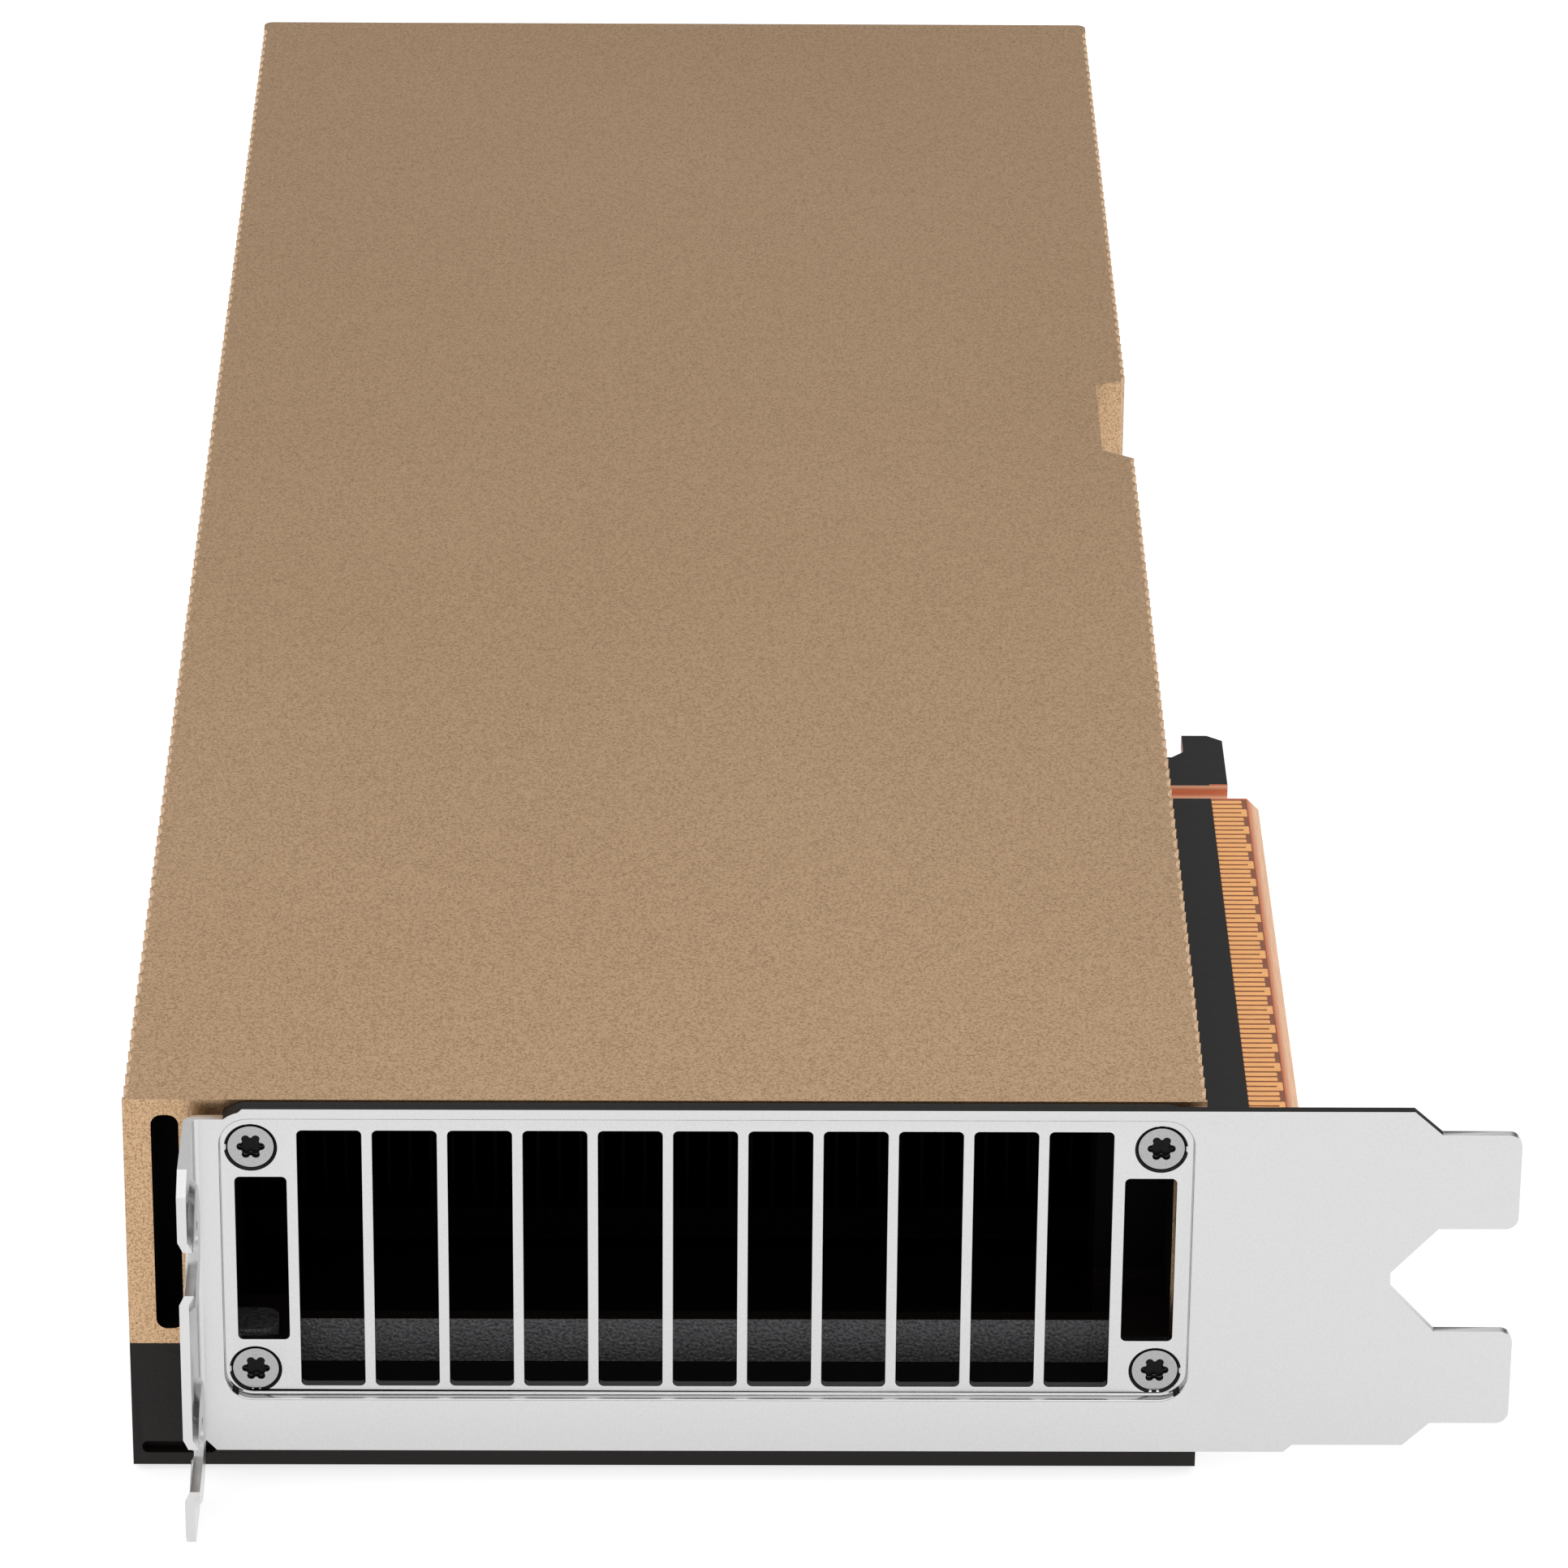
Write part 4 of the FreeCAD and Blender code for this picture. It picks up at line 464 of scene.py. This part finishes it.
class CARD_OT_stage(bpy.types.Operator):
    """Put up the floor, the lights and the camera"""
    bl_idname = "card.stage"
    bl_label = "Stage"

    def execute(self, context):
        settings = context.scene.card_stage
        mesh = bmesh.new()
        bmesh.ops.create_grid(mesh, x_segments=1, y_segments=1, size=6,
                              matrix=Matrix.Translation((0, 3, CAD_BOX[0][2])))
        data = bpy.data.meshes.new("floor")
        mesh.to_mesh(data)
        mesh.free()
        floor = bpy.data.objects.new("floor", data)
        context.scene.collection.objects.link(floor)
        white = grained(
            "white_paper", {"Roughness": 0.9, "Specular IOR Level": 0.0,
                            "Emission Color": (1, 1, 1, 1),
                            "Emission Strength": settings.floor_glow},
            50 * MM, (shade(settings.floor, 0.97), shade(settings.floor)), 0.01 * MM)[0]
        data.materials.append(white)

        context.scene.world = self.room(settings)
        data = bpy.data.cameras.new("camera")
        data.lens = settings.lens
        data.sensor_width = 36
        data.clip_start = 0.01
        camera = bpy.data.objects.new("camera", data)
        camera.location = settings.camera_place
        camera.rotation_euler = settings.camera_turn
        context.scene.collection.objects.link(camera)
        context.scene.camera = camera
        context.scene.view_settings.view_transform = "Standard"
        return {"FINISHED"}

    def room(self, settings):
        """A soft bright ceiling, lit walls in front and a dark wall low at the rear."""
        world = bpy.data.worlds.new("room")
        world.use_nodes = True
        tree = world.node_tree
        tree.nodes.clear()
        way = add(tree, "ShaderNodeTexCoord").outputs["Generated"]
        parts = add(tree, "ShaderNodeSeparateXYZ", inputs={"Vector": way})
        wall = add(tree, "ShaderNodeMapRange",
                   inputs={"Value": parts.outputs["Y"], "From Min": -0.2, "From Max": 0.5,
                           "To Min": settings.room_front, "To Max": settings.room_rear})
        ceiling = add(tree, "ShaderNodeMapRange",
                      inputs={"Value": parts.outputs["Z"], "From Min": 0.33, "From Max": 0.64})
        light = add(tree, "ShaderNodeMix", {"data_type": "FLOAT"},
                    {0: ceiling.outputs[0], 2: wall.outputs[0],
                     3: settings.room_above}).outputs[0]
        glow = add(tree, "ShaderNodeBackground", inputs={"Strength": light})
        plain = add(tree, "ShaderNodeBackground", inputs={"Strength": 1.0})
        glow.inputs["Color"].default_value = plain.inputs["Color"].default_value = (1, 1, 1, 1)
        seen = add(tree, "ShaderNodeLightPath").outputs["Is Camera Ray"]
        both = add(tree, "ShaderNodeMixShader",
                   inputs={0: seen, 1: glow.outputs[0], 2: plain.outputs[0]})
        add(tree, "ShaderNodeOutputWorld", inputs={"Surface": both.outputs[0]})
        return world


class CARD_OT_shroud(bpy.types.Operator):
    """Make the gold shroud with its fluted sides and broken edges"""
    bl_idname = "card.shroud"
    bl_label = "Shroud"

    def execute(self, context):
        mesh = merged_copy("top_shroud")
        skin, front_skin, notch = 1.0 * MM, 0.3 * MM, 4.2 * MM
        low, high = BODY_LOW, BODY_HIGH
        for face in mesh.faces:
            middle = face.calc_center_bounds()
            inside = (low.x + skin < middle.x < high.x - skin
                      and low.y + front_skin < middle.y < high.y - skin
                      and middle.z < high.z - skin)
            cut_in_side = middle.x > high.x - notch and face.normal.x > -0.9
            # Faces inside the shroud get flat black painted shade.
            face.material_index = 1 if inside and not cut_in_side else 0
        piece = new_piece("shroud", mesh, [blasted_anodised_aluminium(), painted_shade_matte()],
                          ["top_shroud"])
        bevelled(piece, sizes().shroud_edge)
        return {"FINISHED"}


class CARD_OT_frame(bpy.types.Operator):
    """Make the black base frame"""
    bl_idname = "card.frame"
    bl_label = "Base frame"

    # Depths behind the body's front, and heights, of what shows through the slots.
    skin, slot_depth = 0.3 * MM, 8 * MM
    ledge_floor, wall_floor = 5 * MM, 8 * MM
    # The boss, measured from the lower screw's corner at the body's front.
    boss_low = Vector((-0.6, 0, 3.4)) * MM
    boss_high = Vector((4.2, 4, 5.6)) * MM
    boss_corner = 1.4 * MM

    def execute(self, context):
        mesh = merged_copy("base_frame")
        for face in mesh.faces:
            middle = face.calc_center_bounds()
            behind = BODY_LOW.y + self.skin < middle.y < BODY_LOW.y + self.slot_depth
            # Upward faces behind the slots get flat black painted shade; front-facing walls above
            # the wall floor get the blasted grey.
            if behind and middle.z > self.ledge_floor and face.normal.z > 0.5:
                face.material_index = 2
            elif behind and middle.z > self.wall_floor and face.normal.y < -0.5:
                face.material_index = 1
        self.add_boss(mesh)
        piece = new_piece("frame", mesh, [coated_casting(), blasted_casting(), painted_shade_matte()],
                          ["base_frame"])
        bevelled(piece, sizes().frame_edge)
        return {"FINISHED"}


    def add_boss(self, mesh):
        """Add the top of the cast boss that shows through the left port, rounded at one end."""
        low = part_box("bracket_screws")[0]
        start = Vector((low.x, BODY_LOW.y + self.skin, low.z))
        end = start + self.boss_high
        corners = add_box(mesh, start + self.boss_low, end)
        for face in {f for v in corners for f in v.link_faces}:
            face.material_index = 1
        rounded = {e for v in corners for e in v.link_edges
                   if is_upright(e) and all(w.co.x > end.x - SAME for w in e.verts)}
        bevel_edges(mesh, rounded, self.boss_corner, 6)


class CARD_OT_backplate(bpy.types.Operator):
    """Make the backplate and the screws that hold it"""
    bl_idname = "card.backplate"
    bl_label = "Backplate"

    def execute(self, context):
        plate = new_piece("backplate_sheet", merged_copy("backplate"), [anodised_plate()],
                          ["backplate"])
        bevelled(plate, sizes().frame_edge)
        for node in ("corner_screws", "backplate_screws", "retention_screws"):
            mesh = merged_copy(node)
            self.sink_drives(mesh)
            piece = new_piece(node + "_finished", mesh, [polished_nickel()], [node])
            bevelled(piece, sizes().screw_edge)
        return {"FINISHED"}

    def sink_drives(self, mesh):
        """Press a plain round drive into the face of every screw head."""
        underside, rim, depth, draft = 1.0 * MM, 0.45, 0.35, 0.04 * MM
        heads = [f for f in mesh.faces if f.normal.z < -0.99 and len(f.verts) > 8
                 and f.calc_center_bounds().z < underside]
        for head in heads:
            radius = max((v.co - head.calc_center_bounds()).length for v in head.verts)
            bmesh.ops.inset_individual(mesh, faces=[head], thickness=radius * rim)
            bmesh.ops.inset_individual(mesh, faces=[head], thickness=draft,
                                       depth=-radius * depth)


class CARD_OT_board(bpy.types.Operator):
    """Make the circuit board with its mask, bare strip and routed edges"""
    bl_idname = "card.board"
    bl_label = "Circuit board"

    def execute(self, context):
        mesh = merged_copy("circuit_board")
        line, strip = sizes().mask_line, sizes().bare_strip
        bevel, overhang, gap = 1.5 * MM, 5 * MM, 1 * MM
        outer = [v.co.y for v in mesh.verts if v.co.x > BOARD_HIGH.x - bevel]
        tongue_end = max(outer)
        hook_start = min(v.co.y for v in mesh.verts
                         if v.co.x > BODY_HIGH.x + overhang and v.co.y > tongue_end + gap)
        for place, way in (((line, 0, 0), (1, 0, 0)), ((0, tongue_end - strip, 0), (0, 1, 0)),
                           ((0, hook_start + strip, 0), (0, 1, 0))):
            bmesh.ops.bisect_plane(mesh, geom=mesh.verts[:] + mesh.edges[:] + mesh.faces[:],
                                   plane_co=place, plane_no=way)
        for face in mesh.faces:
            middle = face.calc_center_bounds()
            tilt = abs(face.normal.z)
            outside = middle.x > BODY_HIGH.x - 1 * MM
            beside_slot = outside and tongue_end - strip < middle.y < hook_start + strip
            if tilt < 0.1:
                face.material_index = 2
            elif tilt < 0.99 or beside_slot:
                face.material_index = 3
            elif middle.x > line and middle.y < hook_start:
                face.material_index = 1
            else:
                face.material_index = 0
        new_piece("board", mesh,
                  [solder_mask(), bare_laminate(), routed_laminate_edge(), bevelled_laminate()],
                  ["circuit_board"])
        return {"FINISHED"}


class CARD_OT_contacts(bpy.types.Operator):
    """Make the gold edge contacts, in pairs that are long and short by turns"""
    bl_idname = "card.contacts"
    bl_label = "Edge contacts"

    def execute(self, context):
        gold = hard_gold()
        for node in ("upper_contacts", "lower_contacts"):
            mesh = bmesh.new()
            low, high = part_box(node)
            self.rows(mesh, low, high)
            new_piece(node.replace("contacts", "pads"), mesh, [gold], [node])
        return {"FINISHED"}

    def rows(self, mesh, low, high):
        size = sizes()
        pitch, width = size.pad_pitch, size.pad_width
        start = low.y + width / 2
        amount = round((high.y - width / 2 - start) / pitch) + 1
        key, clear, corner = self.key_middle(), 1.2 * pitch, 0.1 * MM
        corners = []
        for i in range(amount):
            y = start + i * pitch
            if abs(y - key) < clear:
                continue
            short = i // 2 % 2
            tip = high.x + (-size.pad_short if short else size.pad_reach)
            corners += add_box(mesh, (low.x, y - width / 2, low.z), (tip, y + width / 2, high.z))
            if not short and i % 2 == 0 and i + 1 < amount and abs(y + pitch - key) >= clear:
                add_box(mesh, (tip - size.pad_bar, y + width / 2, low.z),
                        (tip, y + pitch - width / 2, high.z))
        upright = {e for v in corners for e in v.link_edges if is_upright(e)}
        bevel_edges(mesh, upright, corner)

    def key_middle(self):
        """Middle of the key notch, read from the board's outline."""
        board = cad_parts["circuit_board"].data
        near, far = BOARD_HIGH.x - 3 * MM, BOARD_HIGH.x - 8 * MM
        inner = [v.co.y for v in board.vertices
                 if far < v.co.x < near and v.co.y < PADS_HIGH.y]
        return (min(inner) + max(inner)) / 2 if inner else PADS_LOW.y


class CARD_OT_bracket(bpy.types.Operator):
    """Make the plated slot bracket, with a painted dark reflection on its upper edge and painted
    shadow in its countersinks
    """
    bl_idname = "card.bracket"
    bl_label = "Slot bracket"

    def execute(self, context):
        mesh = merged_copy("bracket")
        self.round_press(mesh)
        self.round_bend(mesh)
        top_band, tab_width = 1.3 * MM, 3 * MM
        for face in mesh.faces:
            middle = face.calc_center_median()
            # The top band of the sheet gets a painted dark reflection of the dark room behind.
            on_top = face.normal.z > 0.5 and middle.z > BRACKET_HIGH.z - top_band
            # Countersink faces get painted shadow, standing for the dark gap round each screw
            # head.
            if (on_top and middle.x > BRACKET_LOW.x + tab_width) or self.in_seat(face, middle):
                face.material_index = 1
        piece = new_piece("slot_bracket", mesh, [nickel_plated_sheet(), painted_shade_edge()],
                          ["bracket"])
        bevelled(piece, sizes().sheet_edge, 2, 40)
        return {"FINISHED"}

    def in_seat(self, face, middle):
        """Whether a face belongs to a countersink: it slopes and lies near a screw."""
        low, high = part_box("bracket_screws")
        reach = 2.5 * MM
        beside = any(abs(middle.x - x) < reach for x in (low.x + reach, high.x - reach))
        level = any(abs(middle.z - z) < reach for z in (low.z + reach, high.z - reach))
        return beside and level and -0.9 < face.normal.y < 0.1

    def round_press(self, mesh):
        """Round the rim of the pressed panel and the corner at its floor."""
        outer, press_depth = BODY_LOW.y - sizes().bracket_standoff, 1 * MM
        walls = [f for f in mesh.faces if abs(f.normal.y) < 0.1
                 and abs(min(v.co.y for v in f.verts) - outer) < SAME
                 and abs(max(v.co.y for v in f.verts) - outer - press_depth) < SAME]
        edges = {e for f in walls for e in f.edges
                 if abs(e.verts[0].co.y - e.verts[1].co.y) < 0.01 * MM}
        bevel_edges(mesh, edges, sizes().press, 3)

    def round_bend(self, mesh):
        """Give the fold between plate and tab its inner and outer radius."""
        outer = BODY_LOW.y - sizes().bracket_standoff
        sheet, bend = sizes().sheet, sizes().bend
        for x, y, radius in ((BRACKET_LOW.x + sheet, outer, bend),
                             (BRACKET_LOW.x, outer + sheet, bend + sheet * 0.8)):
            edges = [e for e in mesh.edges
                     if all(abs(v.co.x - x) < SAME and abs(v.co.y - y) < SAME
                            for v in e.verts)]
            if edges:
                bevel_edges(mesh, edges, radius, 5)


class CARD_OT_bracket_screws(bpy.types.Operator):
    """Make the polished six-lobe bracket screws"""
    bl_idname = "card.bracket_screws"
    bl_label = "Bracket screws"

    def execute(self, context):
        mesh = merged_copy("bracket_screws")
        low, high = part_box("bracket_screws")
        radius, shrink, rim, drive = sizes().screw_head / 2, 0.96, 0.8, 0.6
        shallow, deep = low.y + 0.5 * MM, low.y + 1 * MM
        axes = [Vector((x, 0, z)) for x in (low.x + radius, high.x - radius)
                for z in (low.z + radius, high.z - radius)]
        for vert in mesh.verts:
            axis = min(axes, key=lambda a: (vert.co - a).xz.length)
            out = (vert.co - axis).xz
            if out.length > radius * rim:
                # The head sits in its countersink with a little air round it.
                vert.co.x, vert.co.z = axis.x + out.x * shrink, axis.z + out.y * shrink
        for face in mesh.faces:
            middle = face.calc_center_median()
            near = min((middle - a).xz.length for a in axes)
            # Drive floors get painted shade, so that the shallow recess reads as deep.
            if near < radius * drive and shallow < middle.y < deep:
                face.material_index = 1
        piece = new_piece("bracket_screws_finished", mesh, [polished_nickel(), painted_shade_recess()],
                          ["bracket_screws"])
        bevelled(piece, sizes().screw_edge)
        return {"FINISHED"}


class CARD_OT_inlet(bpy.types.Operator):
    """Make the power inlet and its pins"""
    bl_idname = "card.inlet"
    bl_label = "Power inlet"

    def execute(self, context):
        housing = new_piece("inlet_housing", merged_copy("power_inlet"),
                            [plain_moulding("moulded_nylon", "#111111", 0.15, 0.42)],
                            ["power_inlet"])
        bevelled(housing, sizes().part_edge)
        pins = new_piece("inlet_pins", merged_copy("power_pins"),
                         [plain_metal("tin_plate", "#C9C4BA", 0.1, 0.25)],
                         ["power_pins"])
        bevelled(pins, sizes().part_edge)
        return {"FINISHED"}


INNER_MOULDINGS = (
    # node, material, colour, grain in mm, roughness, slot
    ("power_stages", "moulded_epoxy_stage", "#17171A", 0.12, 0.5, "chip_plastic"),
    ("power_controllers", "moulded_epoxy_controller", "#17171A", 0.12, 0.5, "chip_plastic"),
    ("firmware_chip", "moulded_epoxy_memory", "#17171A", 0.12, 0.5, "chip_plastic"),
    ("inductors", "pressed_iron_powder", "#3B3B3D", 0.2, 0.6, "inductor_core"),
    ("ceramic_capacitors", "fired_ceramic", "#8A7056", 0.1, 0.4, "ceramic_chip"),
)


class CARD_OT_board_parts(bpy.types.Operator):
    """Make the parts that stand on the circuit board"""
    bl_idname = "card.board_parts"
    bl_label = "Board parts"

    def execute(self, context):
        for node, name, code, grain, roughness, slot in INNER_MOULDINGS:
            piece = new_piece(node + "_finished", merged_copy(node),
                              [plain_moulding(name, code, grain, roughness)], [node])
            bevelled(piece, sizes().part_edge)
        cans = new_piece("capacitor_cans", merged_copy("bulk_capacitors"),
                         [plain_metal("drawn_can", "#C4C4C6", 0.1, 0.3)],
                         ["bulk_capacitors"])
        bevelled(cans, 3 * sizes().part_edge, 3)
        return {"FINISHED"}


KEPT_NODES = (
    # node, metallic, material, colour, grain in mm, roughness
    ("board_standoffs", True, "turned_steel", "#B9B7B2", 0.15, 0.3),
    ("retention_spring", True, "rolled_spring_steel", "#8F8F92", 0.15, 0.35),
    ("vapour_chamber", True, "blackened_copper", "#1A1A1B", 0.3, 0.5),
    ("fin_stack", True, "black_fin_aluminium", "#161617", 0.2, 0.5),
    ("cooler_posts", True, "turned_nickel_copper", "#B9B6B0", 0.15, 0.3),
    ("package_ring", True, "stamped_copper_ring", "#B9B6B0", 0.2, 0.35),
    ("clock_crystal", True, "drawn_lid", "#C4C4C6", 0.1, 0.3),
    ("processor_die", False, "polished_silicon", "#3B3D45", 0.1, 0.15),
    ("memory_stacks", False, "polished_silicon_stack", "#3B3D45", 0.1, 0.15),
    ("package_substrate", False, "package_laminate", "#1F3D29", 0.3, 0.4),
    ("thermal_interface", False, "phase_change_film", "#8D9299", 0.3, 0.7),
    ("frame_thermal_pads", False, "soft_frame_pad", "#8D9299", 0.5, 0.75),
    ("inductor_thermal_pads", False, "soft_inductor_pad", "#8D9299", 0.5, 0.75),
    ("stage_thermal_pads", False, "soft_stage_pad", "#8D9299", 0.5, 0.75),
    ("backplate_insulator", False, "black_film", "#0D0D0D", 0.3, 0.35),
)


class CARD_OT_inner_finishes(bpy.types.Operator):
    """Give the cooler, the package and the hidden pieces their finishes"""
    bl_idname = "card.inner_finishes"
    bl_label = "Inner finishes"

    def execute(self, context):
        for node, metallic, name, code, grain, roughness in KEPT_NODES:
            make = plain_metal if metallic else plain_moulding
            finish = make(name, code, grain, roughness)
            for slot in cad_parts[node].material_slots:
                slot.material = finish
        return {"FINISHED"}


# ---------------------------------------------------------------- panel and registration

PIECES = (
    CARD_OT_stage, CARD_OT_shroud, CARD_OT_frame, CARD_OT_backplate, CARD_OT_board,
    CARD_OT_contacts, CARD_OT_bracket, CARD_OT_bracket_screws, CARD_OT_inlet,
    CARD_OT_board_parts, CARD_OT_inner_finishes,
)


class CARD_PT_panel(bpy.types.Panel):
    """Lists the card's pieces and settings"""
    bl_idname = "CARD_PT_panel"
    bl_label = "Accelerator Card"
    bl_space_type = "VIEW_3D"
    bl_region_type = "UI"
    bl_category = "Card"

    def draw(self, context):
        for piece in PIECES:
            self.layout.operator(piece.bl_idname)
        for settings in (context.scene.card_colours, context.scene.card_sizes,
                         context.scene.card_stage):
            for name in settings.__annotations__:
                self.layout.prop(settings, name)


CLASSES = (CardColours, CardSizes, CardStage, *PIECES, CARD_PT_panel)


def register():
    for kind in CLASSES:
        bpy.utils.register_class(kind)
    bpy.types.Scene.card_colours = bpy.props.PointerProperty(type=CardColours)
    bpy.types.Scene.card_sizes = bpy.props.PointerProperty(type=CardSizes)
    bpy.types.Scene.card_stage = bpy.props.PointerProperty(type=CardStage)


def unregister():
    del bpy.types.Scene.card_stage
    del bpy.types.Scene.card_sizes
    del bpy.types.Scene.card_colours
    for kind in reversed(CLASSES):
        bpy.utils.unregister_class(kind)


def main():
    register()
    for piece in PIECES:
        group, name = piece.bl_idname.split(".")
        getattr(getattr(bpy.ops, group), name)()


if __name__ == "__main__":
    main()
